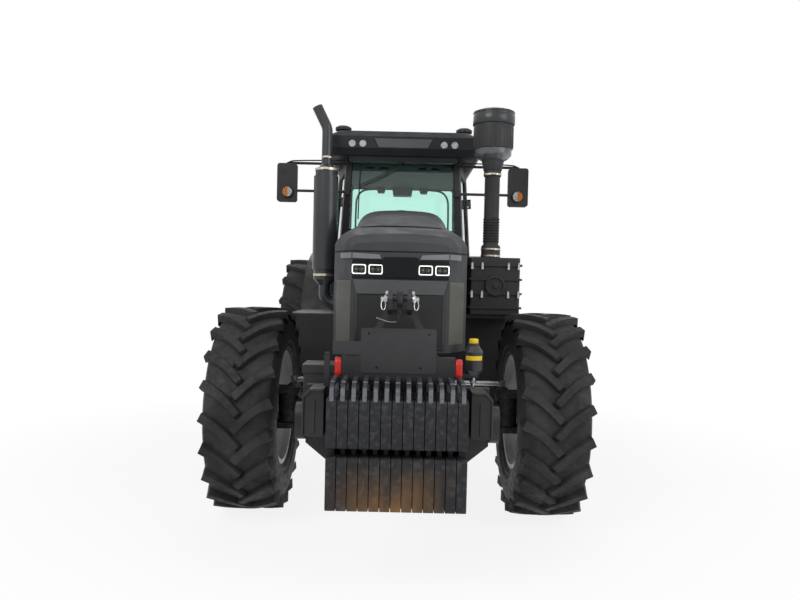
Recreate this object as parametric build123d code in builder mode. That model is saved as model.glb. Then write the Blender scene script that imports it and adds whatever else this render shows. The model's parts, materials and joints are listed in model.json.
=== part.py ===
from build123d import *
import math
import os

os.makedirs("parts", exist_ok=True)

# A farm tractor with a front ballast pack, in millimetres.
# The front faces -Y, +X is the tractor's left side, +Z is up.
# The origin is on the ground, in the middle of the tractor's length and width.

# Clearances: seat is the gap between pieces that lie against each other, fit is a pin's radial play
seat = 0.3
fit = 0.05
side_play = 6

# Layout along the tractor
wheelbase = 2950
front_overhang = 1520
rear_overhang = 1100
front_y = (front_overhang - wheelbase - rear_overhang) / 2
rear_y = front_y + wheelbase
nose_y = front_y - front_overhang

# Tyres: radius to the lug tips, width, bead radius, distance from the middle, and lugs in one row
front_radius = 710
front_width = 465
front_bead = 381
front_track_x = 1005
front_lugs = 21
rear_radius = 930
rear_width = 540
rear_bead = 483
rear_track_x = 970
rear_lugs = 20
carcass_sides = 24
lug_height = 42
lug_width = 62
lug_sweep = 190
shoulder_width = 62
bulge_rise = 165
bead_land = 12

# Rims
rim_wall = 10
rim_lip = 25
rim_inset = 35
rim_drop = 45
rim_shelf = 50
disc_thickness = 14
front_disc_x = 60
front_hub_end = 110
rear_disc_x = -20
rear_hub_end = 60

# Front axle and steering
kingpin_x = 780
kingpin_radius = 25
post_radius = 70
post_half_height = 100
ear_gap = 6
ear_thickness = 40
ear_radius = 85
knuckle_reach = 180
hub_radius = 150
arm_length = 270
arm_thickness = 24
arm_eye_radius = 28
tie_pin_radius = 12
tie_tube_radius = 18
tie_eye_height = 44
beam_end_width = 120
beam_end_height = 120
beam_root_width = 190
beam_root_height = 180
diff_radius = 150
diff_bevel = 60
pivot_radius = 50
pivot_reach = 430

# Front frame, engine and gearbox
frame_half_width = 250
frame_lift = 10
frame_depth = 230
rail_depth = 100
rail_width = 110
rail_length = 940
frame_reach = 1120
bracket_gap = 330
bracket_depth = 90
bracket_width = 140
engine_front_reach = 300
engine_length = 1200
engine_height = 720
gearbox_half_width = 240
gearbox_drop = 370
gearbox_rise = 220
trumpet_radius = 110
trumpet_root_radius = 190
rear_hub_x = 700
rear_hub_radius = 165
pto_radius = 17.5
pto_length = 76

# Hood
hood_half_width = 415
hood_wall = 10
hood_reach = 800
hood_length = 1780
hood_gap = 60
nose_half_width = 290
nose_height = 630
nose_slope = 200
crown_half_width = 270
crown_height = 745
hood_rise = 265
skirt_rise = 318
shoulder_inset = 0.3
shoulder_rise = 0.62
nose_crown_step = 40
nose_edge_rise = 20
nose_peak_rise = 30
corner_half_step = 52
corner_top_rise = 10
corner_edge_drop = 45
corner_peak_drop = 30
side_top_rise = 15
crown_peak_rise = 12
mesh_half_width = 262
mesh_thickness = 6
mesh_lift = 28
mesh_inset = 2
lamp_width = 88
lamp_height = 62
lamp_inner_x = 150
lamp_outer_x = 250
lamp_depth = 60
lamp_rise = 150
hinge_pin_radius = 12
hinge_ear_x = 150
hinge_ear_width = 28
hinge_drop = 100
hinge_back = 40

# Ballast pack
weight_count = 13
weight_pitch = 55
weight_width = 52
weight_length = 340
weight_lift = 133
upper_height = 250
upper_handle = 88
lower_height = 272
row_gap = 45
handle_width = 24
handle_bar = 30
handle_slope = 72
carrier_half_width = 500
carrier_base_half = 300
tower_half_width = 310
tower_height = 320
side_box_width = 112
side_box_depth = 160
side_box_height = 250
loop_thickness = 50
loop_length = 200
loop_width = 130
loop_eye_length = 140
loop_eye_width = 60
leg_base_x = 200
leg_top_x = 60
leg_width = 40
leg_height = 260
leg_thickness = 30
cheek_thickness = 24
cheek_reach = 100
catcher_height = 120
catcher_reach = 56
catcher_ball = 28
hook_offset = 30
hook_drop = 64
hook_length = 112
hook_width = 60
hook_eye_length = 72
hook_eye_width = 20
plate_width = 410
plate_height = 245
plate_thickness = 3
strip_reach = 360.8
strip_low = 98
strip_high = 171.5

# Exhaust and air intake
silencer_x = 640
silencer_back = 920
silencer_radius = 93
silencer_height = 1012
silencer_lift = 420
silencer_rise = 156.4
stack_radius = 44
stack_height = 480
elbow_radius = 46
cleaner_back = 500
cleaner_x = 530
cleaner_width = 425
cleaner_length = 400
cleaner_height = 446
cleaner_ribs = 4
first_rib = 44.6
shelf_thickness = 32
shelf_lift = 215
intake_x = 725
intake_radius = 61
intake_height = 707
bowl_radius = 170
bowl_height = 480

# Accumulator bottle and battery box
bottle_x = 448
bottle_forward = 800
bottle_radius = 58
bottle_height = 180
bottle_drop = 72
bottle_neck = 34.8
battery_forward = 950
battery_width = 300
battery_length = 215
battery_height = 190

# Cab
cab_back = 1150
cab_lean = 150
door_length = 800
cab_length = 1850
cab_rear_lean = 50
cab_front_half = 565
cab_front_top_half = 500
cab_middle_half = 715
cab_lower_half = 640
cab_upper_half = 610
cab_neck = 80
cab_gap = 200
floor_thickness = 50
cab_height = 1360
cab_wall = 45
window_border = 52
screen_sill = 670
screen_header = 16
rear_sill = 450
glass_thickness = 6
glass_depth = 15
door_gap = 6
door_thickness = 40
door_frame = 55
door_pin_radius = 8
door_pin_out = 22
door_ear_radius = 13
door_ear_height = 50
door_ear_skin = 1
roof_height = 220
roof_half_width = 700
roof_front = 170
roof_back = 90
roof_foot_inset = 50
roof_shoulder = 158.4
roof_shoulder_inset = 12
roof_top_inset = 100
fender_gap = 60
fender_wall = 16
fender_width = 345
fender_skirt = 240

# Cab fittings
roof_lamp_radius = 35
roof_lamp_inner_x = 350
roof_lamp_outer_x = 441
roof_lamp_rise = 92.4
antenna_x = 540
antenna_stem = 14
antenna_radius = 72
antenna_shoulder = 33.6
antenna_crown = 50.4
mirror_x = 1025
mirror_width = 175
mirror_height = 340
mirror_depth = 60
mirror_tube = 12
mirror_low = 1060
mirror_drop = 60
foot_margin = 4
seat_forward = 430
seat_width = 480
seat_height = 410
backrest_height = 580
backrest_half = 220.8
armrest_x = 211.2
pedestal_foot = 336
pedestal_head = 288
cushion = 90
dash_width = 340
dash_depth = 350
dash_height = 620
dash_lip_height = 496
column_reach = 260
column_radius = 22
wheel_radius = 205
wheel_height = 740
wheel_hub_radius = 35.2

# Tanks and steps
tank_back = 910
tank_length = 440
tank_height = 780
tank_right_length = 850
tank_right_height = 630
tank_outer_x = 985
tank_gap = 10
tank_corner = 70
step_length = 380
step_count = 3
step_rise = 270
step_plate = 30
step_width = 300

# Rear hitch
hitch_back = 230
link_drop = 330
shaft_rise = 150
shaft_radius = 40
link_pin_radius = 20
link_length = 820
link_x = 380
link_thickness = 40
link_height = 70
link_eye_radius = 50
ball_radius = 14
lift_arm_length = 420
lift_pin_radius = 15
lift_tube_radius = 18
lift_body_radius = 25.2
lift_eye_half = 14.4
arm_hub_radius = 60
top_link_back = 340
top_link_length = 600
top_link_body = 27
drawbar_drop = 90
drawbar_half = 45
hanger_half = 67.5
drawbar_thickness = 40
drawbar_reach = 570
drawbar_pin_radius = 18

# Heights that follow from the wheels
axle_z = front_radius
arm_z = axle_z + post_half_height + ear_gap + ear_thickness / 2
tie_bottom = arm_z + arm_thickness / 2 + seat
tie_rod_y = front_y + arm_length
frame_bottom = tie_bottom + tie_eye_height + frame_lift
frame_top = frame_bottom + frame_depth
rail_top = frame_bottom + rail_depth
engine_top = rail_top + engine_height
gearbox_bottom = rear_radius - gearbox_drop
gearbox_top = rear_radius + gearbox_rise
hood_bottom = frame_top + hood_gap
floor_bottom = gearbox_top + cab_gap
floor_top = floor_bottom + floor_thickness
cab_top = floor_bottom + cab_height


def write(piece, name):
    """Labels a finished piece and writes it to its own file."""
    piece.part.label = name
    export_step(piece.part, f"parts/{name}.step")


def block(low, high, mode=Mode.ADD):
    """A box between two opposite corners, in the part being built."""
    corners = [sorted(pair) for pair in zip(low, high)]
    with Locations(tuple((a + b) / 2 for a, b in corners)):
        Box(*(b - a for a, b in corners), mode=mode)


def rod(start, end, radius, mode=Mode.ADD):
    """A round bar between two points, in the part being built."""
    axis = Vector(*end) - Vector(*start)
    with BuildSketch(Plane(origin=start, z_dir=axis)) as profile:
        Circle(radius)
    extrude(profile.sketch, amount=axis.length, mode=mode)


def turned(centre, outline, mode=Mode.ADD):
    """A shape turned about the X axis through centre, from (x, radius) points."""
    with BuildSketch(Plane(origin=centre, x_dir=(1, 0, 0), z_dir=(0, -1, 0))) as profile:
        Polygon(*outline, align=None)
    revolve(profile.sketch, axis=Axis(centre, (1, 0, 0)), mode=mode)


def upright(centre, outline, mode=Mode.ADD):
    """A shape turned about the Z axis through centre, from (radius, height) points."""
    with BuildSketch(Plane(origin=centre, x_dir=(1, 0, 0), z_dir=(0, -1, 0))) as profile:
        Polygon(*outline, align=None)
    revolve(profile.sketch, axis=Axis(centre, (0, 0, 1)), mode=mode)


def plate(outline, x_low, x_high, corner=0, mode=Mode.ADD):
    """A plate across X, from its side view as (y, z) points, with its corners rounded."""
    low, high = sorted((x_low, x_high))
    with BuildSketch(Plane.YZ.offset(low)) as profile:
        Polygon(*outline, align=None)
        if corner:
            fillet(profile.vertices(), corner)
    extrude(profile.sketch, amount=high - low, mode=mode)


def flange(outline, y_low, y_high, corner=0, mode=Mode.ADD):
    """A plate across Y, from its front view as (x, z) points, with its corners rounded."""
    with BuildSketch(Plane.XZ.offset(-y_high)) as profile:
        Polygon(*outline, align=None)
        if corner:
            fillet(profile.vertices(), corner)
    extrude(profile.sketch, amount=y_high - y_low, mode=mode)


def level(outline, z_low, z_high, corner=0, mode=Mode.ADD):
    """A plate across Z, from its plan as (x, y) points, with its corners rounded."""
    with BuildSketch(Plane.XY.offset(z_low)) as profile:
        Polygon(*outline, align=None)
        if corner:
            fillet(profile.vertices(), corner)
    extrude(profile.sketch, amount=z_high - z_low, mode=mode)


# Tyres: a many-sided carcass with two staggered rows of lugs
def tyre(radius, width, bead, lug_count):
    """A tyre about the X axis through the origin."""
    half = width / 2
    land = half - rim_inset - rim_wall - bead_land
    tread = radius - lug_height
    bulge = bead + bulge_rise
    lug_reach = half - bead_land
    low_point = lug_sweep / 2
    tip = math.sqrt(radius**2 - (low_point + lug_width / 2) ** 2)
    root = bulge
    with BuildPart() as piece:
        for x, r in (
            (-half, bulge), (-half + shoulder_width, tread), (half - shoulder_width, tread), (half, bulge)
        ):
            with BuildSketch(Plane.YZ.offset(x)):
                RegularPolygon(r, carcass_sides, major_radius=False)
        loft(ruled=True)
        with BuildSketch(Plane.YZ.offset(-half)):
            RegularPolygon(bead + seat, carcass_sides, major_radius=False)
        extrude(amount=width, mode=Mode.SUBTRACT)
        for side in (1, -1):
            for x, r in ((half, bulge - bead_land), (land, bead + seat)):
                with BuildSketch(Plane.YZ.offset(side * x)):
                    RegularPolygon(r, carcass_sides, major_radius=False)
            loft(ruled=True, mode=Mode.SUBTRACT)
        for side in (1, -1):
            line = [(-bead_land, -low_point), (lug_reach, low_point)]
            front_edge = [(side * u, v - lug_width / 2) for u, v in line]
            back_edge = [(side * u, v + lug_width / 2) for u, v in reversed(line)]
            for i in range(lug_count):
                turn = math.radians((i + (1 - side) / 4) * 360 / lug_count)
                outward = Vector(0, -math.sin(turn), math.cos(turn))
                with BuildSketch(Plane(origin=outward * root, x_dir=(1, 0, 0), z_dir=outward)):
                    Polygon(*front_edge, *back_edge, align=None)
        extrude(amount=tip - root)
    return piece.part


def rim(width, bead, hub_start, hub_end, hub_size, disc_x):
    """A rim about the X axis through the origin: flanges, a dropped centre, a dished disc and its hub."""
    half = width / 2 - rim_inset
    well = bead - rim_drop
    barrel = [
        (-half, bead + rim_lip),
        (-half, bead - rim_wall),
        (-half + rim_shelf, bead - rim_wall),
        (-half + 2 * rim_shelf, well - rim_wall),
        (half - 2 * rim_shelf, well - rim_wall),
        (half - rim_shelf, bead - rim_wall),
        (half, bead - rim_wall),
        (half, bead + rim_lip),
        (half - rim_wall, bead + rim_lip),
        (half - rim_wall, bead),
        (half - rim_shelf, bead),
        (half - 2 * rim_shelf, well),
        (-half + 2 * rim_shelf, well),
        (-half + rim_shelf, bead),
        (-half + rim_wall, bead),
        (-half + rim_wall, bead + rim_lip),
    ]
    dish = disc_x - rim_drop
    hub = [
        (hub_start, 0),
        (hub_start, hub_size),
        (disc_x, hub_size + rim_lip),
        (dish, well - rim_wall / 2),
        (dish + disc_thickness, well - rim_wall / 2),
        (disc_x + disc_thickness, hub_size + rim_lip),
        (disc_x + disc_thickness, hub_size - rim_lip),
        (hub_end, hub_size - 2 * rim_lip),
        (hub_end, 0),
    ]
    with BuildPart() as piece:
        turned((0, 0, 0), barrel)
        turned((0, 0, 0), hub)
    return piece.part


hub_face_x = kingpin_x + knuckle_reach
front_tyre = tyre(front_radius, front_width, front_bead, front_lugs)
rear_tyre = tyre(rear_radius, rear_width, rear_bead, rear_lugs)
front_rim = rim(
    front_width, front_bead, hub_face_x + seat - front_track_x, front_hub_end, hub_radius, front_disc_x
)
rear_rim = rim(
    rear_width, rear_bead, rear_hub_x + seat - rear_track_x, rear_hub_end, rear_hub_radius, rear_disc_x
)
for side, name in ((1, "left"), (-1, "right")):
    for end, shape, turned_rim, x, y, z in (
        ("front", front_tyre, front_rim, front_track_x, front_y, front_radius),
        ("rear", rear_tyre, rear_rim, rear_track_x, rear_y, rear_radius),
    ):
        with BuildPart() as piece:
            with Locations((side * x, y, z)):
                add(shape)
        write(piece, f"{end}_tyre_{name}")
        with BuildPart() as piece:
            with Locations(Location((side * x, y, z), (0, 0, 90 - 90 * side))):
                add(turned_rim)
        write(piece, f"{end}_rim_{name}")

# Front axle: a tapered beam with a round housing in the middle, a pivot pin and the two kingpin posts
with BuildPart() as front_axle:
    for side in (1, -1):
        for x, depth, height in (
            (0, beam_root_width, beam_root_height), (side * kingpin_x, beam_end_width, beam_end_height)
        ):
            with BuildSketch(Plane.YZ.offset(x)):
                with Locations((front_y, axle_z)):
                    RectangleRounded(depth, height, beam_end_height / 4)
        loft(ruled=True)
        rod(
            (side * kingpin_x, front_y, axle_z - post_half_height),
            (side * kingpin_x, front_y, axle_z + post_half_height),
            post_radius,
        )
        rod((side * kingpin_x, front_y, axle_z - post_half_height - ear_thickness),
            (side * kingpin_x, front_y, axle_z + post_half_height + ear_thickness), kingpin_radius)
    with BuildSketch(Plane.XY.offset(axle_z)) as housing:
        with BuildLine():
            Polyline(
                (0, front_y - diff_radius),
                (diff_radius - diff_bevel, front_y - diff_radius),
                (diff_radius, front_y - diff_bevel),
                (diff_radius, front_y + diff_bevel),
                (diff_radius - diff_bevel, front_y + diff_radius),
                (0, front_y + diff_radius),
                close=True,
            )
        make_face()
    revolve(housing.sketch, axis=Axis((0, front_y, axle_z), (0, 1, 0)))
    rod((0, front_y - pivot_reach, axle_z), (0, front_y + pivot_reach, axle_z), pivot_radius)
write(front_axle, "front_axle")

# Knuckles: an ear above and below the post, a web outboard, a stepped hub housing and a steering arm
web_start = post_radius + ear_gap
web_end = web_start + ear_thickness
ear_low = post_half_height + ear_gap / 2
ear_high = ear_low + ear_thickness
for side, name in ((1, "left"), (-1, "right")):
    x = side * kingpin_x
    with BuildPart() as knuckle:
        for way in (1, -1):
            low, high = sorted((axle_z + way * ear_low, axle_z + way * ear_high))
            rod((x, front_y, low), (x, front_y, high), ear_radius)
            level(
                (
                    (x, front_y - ear_radius),
                    (x, front_y + ear_radius),
                    (x + side * web_end, front_y + ear_radius),
                    (x + side * web_end, front_y - ear_radius),
                ),
                low,
                high,
            )
        block((x + side * web_start, front_y - ear_radius, axle_z - ear_high),
              (x + side * web_end, front_y + ear_radius, axle_z + ear_high))
        turned(
            (x, front_y, axle_z),
            (
                (side * web_start, 0),
                (side * web_start, ear_radius + ear_thickness),
                (side * web_end, hub_radius),
                (side * knuckle_reach, hub_radius),
                (side * knuckle_reach, 0),
            ),
        )
        level(
            (
                (x - arm_eye_radius, front_y), (x + arm_eye_radius, front_y),
                (x + arm_eye_radius, tie_rod_y), (x - arm_eye_radius, tie_rod_y),
            ),
            arm_z - arm_thickness / 2,
            arm_z + arm_thickness / 2,
        )
        rod(
            (x, tie_rod_y, arm_z - arm_thickness / 2),
            (x, tie_rod_y, arm_z + arm_thickness / 2),
            arm_eye_radius,
        )
        rod(
            (x, tie_rod_y, arm_z - arm_thickness), (x, tie_rod_y, arm_z + arm_thickness),
            tie_pin_radius + fit, Mode.SUBTRACT,
        )
        for way in (1, -1):
            rod(
                (x, front_y, axle_z + way * post_half_height),
                (x, front_y, axle_z + way * (ear_high + ear_thickness)),
                kingpin_radius + fit,
                Mode.SUBTRACT,
            )
    write(knuckle, f"knuckle_{name}")

# Tie rod over the two steering arms
with BuildPart() as tie_rod:
    tube_z = tie_bottom + tie_eye_height / 2
    rod((-kingpin_x, tie_rod_y, tube_z), (kingpin_x, tie_rod_y, tube_z), tie_tube_radius)
    for side in (1, -1):
        rod(
            (side * kingpin_x, tie_rod_y, tie_bottom),
            (side * kingpin_x, tie_rod_y, tie_bottom + tie_eye_height),
            arm_eye_radius,
        )
        rod(
            (side * kingpin_x, tie_rod_y, tie_bottom - arm_thickness),
            (side * kingpin_x, tie_rod_y, tube_z),
            tie_pin_radius,
        )
write(tie_rod, "tie_rod")

# Front frame: a bolster ahead of the engine, two rails beside its sump and two brackets for the axle's pin
bolster_front_y = front_y - frame_reach
engine_front_y = front_y - engine_front_reach
engine_rear_y = engine_front_y + engine_length
with BuildPart() as front_frame:
    plate(
        (
            (bolster_front_y, frame_bottom), (engine_front_y - seat, frame_bottom),
            (engine_front_y - seat, frame_top), (bolster_front_y, frame_top),
        ),
        -frame_half_width,
        frame_half_width,
    )
    for side in (1, -1):
        inner = side * (frame_half_width - rail_width)
        plate(
            (
                (engine_front_y - rail_width, frame_bottom),
                (engine_front_y + rail_length, frame_bottom),
                (engine_front_y + rail_length, rail_top - seat),
                (engine_front_y - rail_width, rail_top - seat),
            ),
            inner,
            side * frame_half_width,
        )
        pocket_front = bolster_front_y + rail_width
        pocket_rear = engine_front_y - rail_width
        plate(
            (
                (pocket_front, frame_bottom + frame_depth / 4),
                (pocket_rear, frame_bottom + frame_depth / 4),
                (pocket_rear, frame_top - frame_depth / 4),
                (pocket_front, frame_top - frame_depth / 4),
            ),
            side * (frame_half_width - rail_width / 2),
            side * (frame_half_width + rail_width),
            frame_depth / 8,
            Mode.SUBTRACT,
        )
    for y in (front_y - bracket_gap - bracket_depth, front_y + bracket_gap):
        flange(
            (
                (-bracket_width, rail_top - rail_depth / 2),
                (-bracket_width, axle_z),
                (-pivot_radius, axle_z - 2 * pivot_radius),
                (pivot_radius, axle_z - 2 * pivot_radius),
                (bracket_width, axle_z),
                (bracket_width, rail_top - rail_depth / 2),
            ),
            y,
            y + bracket_depth,
        )
        rod(
            (0, y - bracket_depth, axle_z), (0, y + 2 * bracket_depth, axle_z), pivot_radius + seat,
            Mode.SUBTRACT,
        )
    block((-frame_half_width, front_y + bracket_gap, frame_bottom),
          (frame_half_width, front_y + bracket_gap + bracket_depth, rail_top - seat))
write(front_frame, "front_frame")

# Engine, one plain block, with the hood's two hinge posts and their pin on top
hood_front_y = front_y - hood_reach
hood_rear_y = hood_front_y + hood_length
hood_nose_top = hood_bottom + nose_height
crown_edge_z = hood_bottom + crown_height
hood_rear_z = crown_edge_z + hood_rise
hinge_y = engine_rear_y - hinge_back
hinge_z = hood_rear_z - hinge_drop
post_x = hinge_ear_x + hinge_ear_width + side_play
with BuildPart() as engine:
    block((-frame_half_width, engine_front_y, rail_top), (frame_half_width, engine_rear_y, engine_top))
    for side in (1, -1):
        plate(
            (
                (hinge_y - hinge_back, engine_top),
                (hinge_y + hinge_back / 2, engine_top),
                (hinge_y + hinge_back / 2, hinge_z + hinge_back / 3),
                (hinge_y - hinge_back / 2, hinge_z + hinge_back / 3),
            ),
            side * post_x,
            side * (post_x + hinge_ear_width / 2),
        )
    rod((-post_x, hinge_y, hinge_z), (post_x, hinge_y, hinge_z), hinge_pin_radius)
write(engine, "engine_block")

# Gearbox and rear axle in one casting, with cab mounts, trumpets to the hubs, hitch lugs and the power shaft
hitch_y = rear_y + hitch_back
link_z = rear_radius - link_drop
shaft_z = rear_radius + shaft_rise
gearbox_rear_y = rear_y + trumpet_root_radius
lug_x = gearbox_half_width - rail_width / 2
with BuildPart() as gearbox:
    plate(
        (
            (engine_rear_y + seat, gearbox_top - frame_depth),
            (engine_rear_y + seat, gearbox_top),
            (gearbox_rear_y, gearbox_top),
            (gearbox_rear_y, gearbox_bottom + rail_depth),
            (rear_y, gearbox_bottom),
            (engine_rear_y + wheelbase / 4, gearbox_bottom),
        ),
        -gearbox_half_width,
        gearbox_half_width,
    )
    block(
        (-frame_half_width, engine_rear_y + seat, gearbox_top - 2 * frame_depth),
        (frame_half_width, engine_rear_y + rail_width, gearbox_top),
    )
    for side in (1, -1):
        turned(
            (0, rear_y, rear_radius),
            (
                (0, 0),
                (0, trumpet_root_radius),
                (side * (gearbox_half_width + rail_width), trumpet_radius),
                (side * (rear_hub_x - rail_width), trumpet_radius),
                (side * (rear_hub_x - rail_width / 2), rear_hub_radius),
                (side * rear_hub_x, rear_hub_radius),
                (side * rear_hub_x, 0),
            ),
        )
        for y in (front_y + cab_back + cab_lean, rear_y - trumpet_root_radius):
            rod((side * lug_x, y, gearbox_top - seat), (side * lug_x, y, floor_bottom - seat), pivot_radius)
        for z, size in ((shaft_z, shaft_radius), (link_z, link_pin_radius)):
            plate(
                (
                    (gearbox_rear_y - size, z - size - rail_width / 2),
                    (hitch_y + size, z - size),
                    (hitch_y + size, z + size),
                    (gearbox_rear_y - size, z + size + rail_width / 2),
                ),
                side * (lug_x - rail_width / 2),
                side * gearbox_half_width,
            )
            rod((side * gearbox_half_width * 2, hitch_y, z), (0, hitch_y, z), size + fit, Mode.SUBTRACT)
    rod(
        (0, gearbox_rear_y - rail_width, link_z + rail_width),
        (0, gearbox_rear_y + pto_radius, link_z + rail_width),
        3 * pto_radius,
    )
    rod(
        (0, gearbox_rear_y, link_z + rail_width),
        (0, gearbox_rear_y + pto_radius + pto_length, link_z + rail_width),
        pto_radius,
    )
write(gearbox, "gearbox_and_rear_axle")

# Ballast carrier: a back plate, side boxes, lift arms, a tower, an A-frame and the catcher for a top link
carrier_rear_y = bolster_front_y - seat
weight_rear_y = nose_y + weight_length
carrier_front_y = weight_rear_y + seat
upper_bottom = frame_bottom - weight_lift
upper_shoulder = upper_bottom + upper_height
handle_top = upper_shoulder + upper_handle
lower_top = upper_bottom - row_gap
lower_bottom = lower_top - lower_height
tower_bottom = upper_shoulder + row_gap / 2
tower_top = tower_bottom + tower_height / 2
leg_top = tower_top + leg_height
catcher_z = leg_top + catcher_height - leg_width
carrier_foot = lower_top - lower_height / 2
with BuildPart() as carrier:
    half_plate = (
        (carrier_base_half, carrier_foot),
        (carrier_half_width - side_box_width, carrier_foot + row_gap),
        (carrier_half_width, lower_top),
        (carrier_half_width, tower_bottom),
    )
    flange((*half_plate, *((-x, z) for x, z in reversed(half_plate))), carrier_front_y, carrier_rear_y)
    flange(
        (
            (-tower_half_width, tower_bottom - row_gap),
            (tower_half_width, tower_bottom - row_gap),
            (tower_half_width, tower_top),
            (-tower_half_width, tower_top),
        ),
        carrier_front_y,
        carrier_rear_y,
    )
    for side in (1, -1):
        inner, outer = side * (carrier_half_width - side_box_width), side * (carrier_half_width + seat)
        flange(
            (
                (inner, tower_bottom - side_box_height),
                (outer, tower_bottom - side_box_height),
                (outer, tower_bottom - side_box_width / 3),
                (outer - side * side_box_width / 3, tower_bottom),
                (inner, tower_bottom),
            ),
            carrier_front_y - side_box_depth,
            carrier_front_y,
        )
        with BuildSketch(
            Plane.YZ.offset(min(side, 0) * loop_thickness + side * carrier_half_width)
        ) as loop:
            with Locations(
                (carrier_front_y - loop_thickness / 5, lower_top + 2 * loop_thickness + row_gap / 2)
            ):
                SlotOverall(loop_length, loop_width, rotation=90)
                SlotOverall(loop_eye_length, loop_eye_width, rotation=90, mode=Mode.SUBTRACT)
        extrude(loop.sketch, amount=loop_thickness)
        flange(
            (
                (side * (leg_base_x + leg_width / 2), tower_top),
                (side * (leg_base_x - leg_width / 2), tower_top),
                (side * (leg_top_x - leg_width / 2), leg_top),
                (side * (leg_top_x + leg_width / 2), leg_top),
            ),
            carrier_front_y,
            carrier_front_y + leg_thickness,
        )
        flange(
            (
                (side * (leg_base_x + leg_width), tower_top - leg_width),
                (side * (leg_base_x - leg_width), tower_top - leg_width),
                (side * (leg_base_x - leg_width / 2), tower_top + leg_width / 4),
                (side * (leg_base_x + leg_width / 2), tower_top + leg_width / 4),
            ),
            carrier_front_y,
            carrier_front_y + leg_thickness,
        )
        cheek = side * (leg_top_x - leg_width / 2)
        plate(
            (
                (carrier_front_y + leg_thickness, leg_top - leg_width),
                (carrier_front_y + leg_thickness, leg_top + leg_width),
                (carrier_front_y - leg_width, leg_top + catcher_height),
                (carrier_front_y - cheek_reach, leg_top + catcher_height / 2),
                (carrier_front_y - 2 * leg_width, leg_top),
            ),
            cheek,
            cheek + side * cheek_thickness,
            leg_width / 4,
        )
    block(
        (-leg_top_x - leg_width / 2, carrier_front_y, leg_top - leg_width),
        (leg_top_x + leg_width / 2, carrier_front_y + leg_thickness, leg_top),
    )
    catcher_y = carrier_front_y - catcher_reach
    rod(
        (-leg_top_x - leg_width, catcher_y, catcher_z - leg_width / 2),
        (leg_top_x + leg_width, catcher_y, catcher_z - leg_width / 2),
        leg_width / 3,
    )
    turned(
        (0, catcher_y, catcher_z - leg_width / 2),
        (
            (-leg_width / 2, 0), (-leg_width / 2, leg_width / 2), (-leg_width / 4, catcher_ball),
            (leg_width / 4, catcher_ball), (leg_width / 2, leg_width / 2), (leg_width / 2, 0),
        ),
    )
write(carrier, "ballast_carrier")

# Ballast weights: an upper row with looped handles over the tower's front, and a lower row hung under it
handle_back = weight_rear_y - handle_bar
with BuildPart() as upper_weights:
    for i in range(weight_count):
        x = (i - (weight_count - 1) / 2) * weight_pitch
        plate(
            (
                (nose_y, upper_bottom), (weight_rear_y, upper_bottom), (weight_rear_y, upper_shoulder),
                (nose_y, upper_shoulder),
            ),
            x - weight_width / 2,
            x + weight_width / 2,
            handle_bar / 2,
        )
        outer = (
            (nose_y + seat, upper_shoulder - handle_bar),
            (nose_y + seat, handle_top - handle_bar),
            (nose_y + 2 * handle_bar, handle_top),
            (weight_rear_y - seat, handle_top),
            (weight_rear_y - seat, upper_shoulder - handle_bar),
        )
        inner = (
            (nose_y + handle_bar, upper_shoulder - 2 * handle_bar),
            (nose_y + handle_bar, handle_top - handle_bar - handle_bar / 2),
            (nose_y + handle_slope, handle_top - handle_bar),
            (handle_back, handle_top - handle_bar),
            (handle_back, upper_shoulder - 2 * handle_bar),
        )
        with BuildSketch(Plane.YZ.offset(x - handle_width / 2)) as handle:
            Polygon(*outer, align=None)
            Polygon(*inner, align=None, mode=Mode.SUBTRACT)
        extrude(handle.sketch, amount=handle_width)
write(upper_weights, "weights_upper")

with BuildPart() as lower_weights:
    for i in range(weight_count):
        x = (i - (weight_count - 1) / 2) * weight_pitch
        plate(
            (
                (nose_y + handle_bar / 3, lower_bottom),
                (weight_rear_y - 2 * handle_bar, lower_bottom),
                (weight_rear_y, lower_bottom + 2 * handle_bar),
                (weight_rear_y, lower_top),
                (nose_y + handle_bar / 3, lower_top),
            ),
            x - weight_width / 2,
            x + weight_width / 2,
            handle_bar / 2,
        )
        block((x - handle_width / 2, nose_y + 3 * handle_bar, lower_top - handle_bar),
              (x + handle_width / 2, handle_back, upper_bottom))
write(lower_weights, "weights_lower")

# A blank plate with a narrow side strip, on the A-frame's legs and the tower
plate_y = carrier_front_y - seat
plate_z = handle_top + side_play
with BuildPart() as blank:
    flange(
        (
            (-plate_width / 2 - plate_thickness, plate_z),
            (plate_width / 2, plate_z),
            (plate_width / 2, plate_z + plate_height),
            (-plate_width / 2 - plate_thickness, plate_z + plate_height),
        ),
        plate_y - plate_thickness,
        plate_y,
        plate_height / 16,
    )
    flange(((-strip_reach, plate_z + strip_low), (0, plate_z + strip_low), (0, plate_z + strip_high),
            (-strip_reach, plate_z + strip_high)), plate_y - plate_thickness, plate_y)
write(blank, "blank_plate")

# Tow hooks at the tower's ends
with BuildPart() as hooks:
    for side in (1, -1):
        start = side * (tower_half_width + seat)
        with BuildSketch(Plane.YZ.offset(min(start, start + side * leg_width))) as hook:
            with Locations((carrier_front_y + hook_offset, tower_top - hook_drop)):
                SlotOverall(hook_length, hook_width, rotation=90)
                SlotOverall(hook_eye_length, hook_eye_width, rotation=90, mode=Mode.SUBTRACT)
        extrude(hook.sketch, amount=leg_width)
write(hooks, "tow_hooks")


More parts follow.
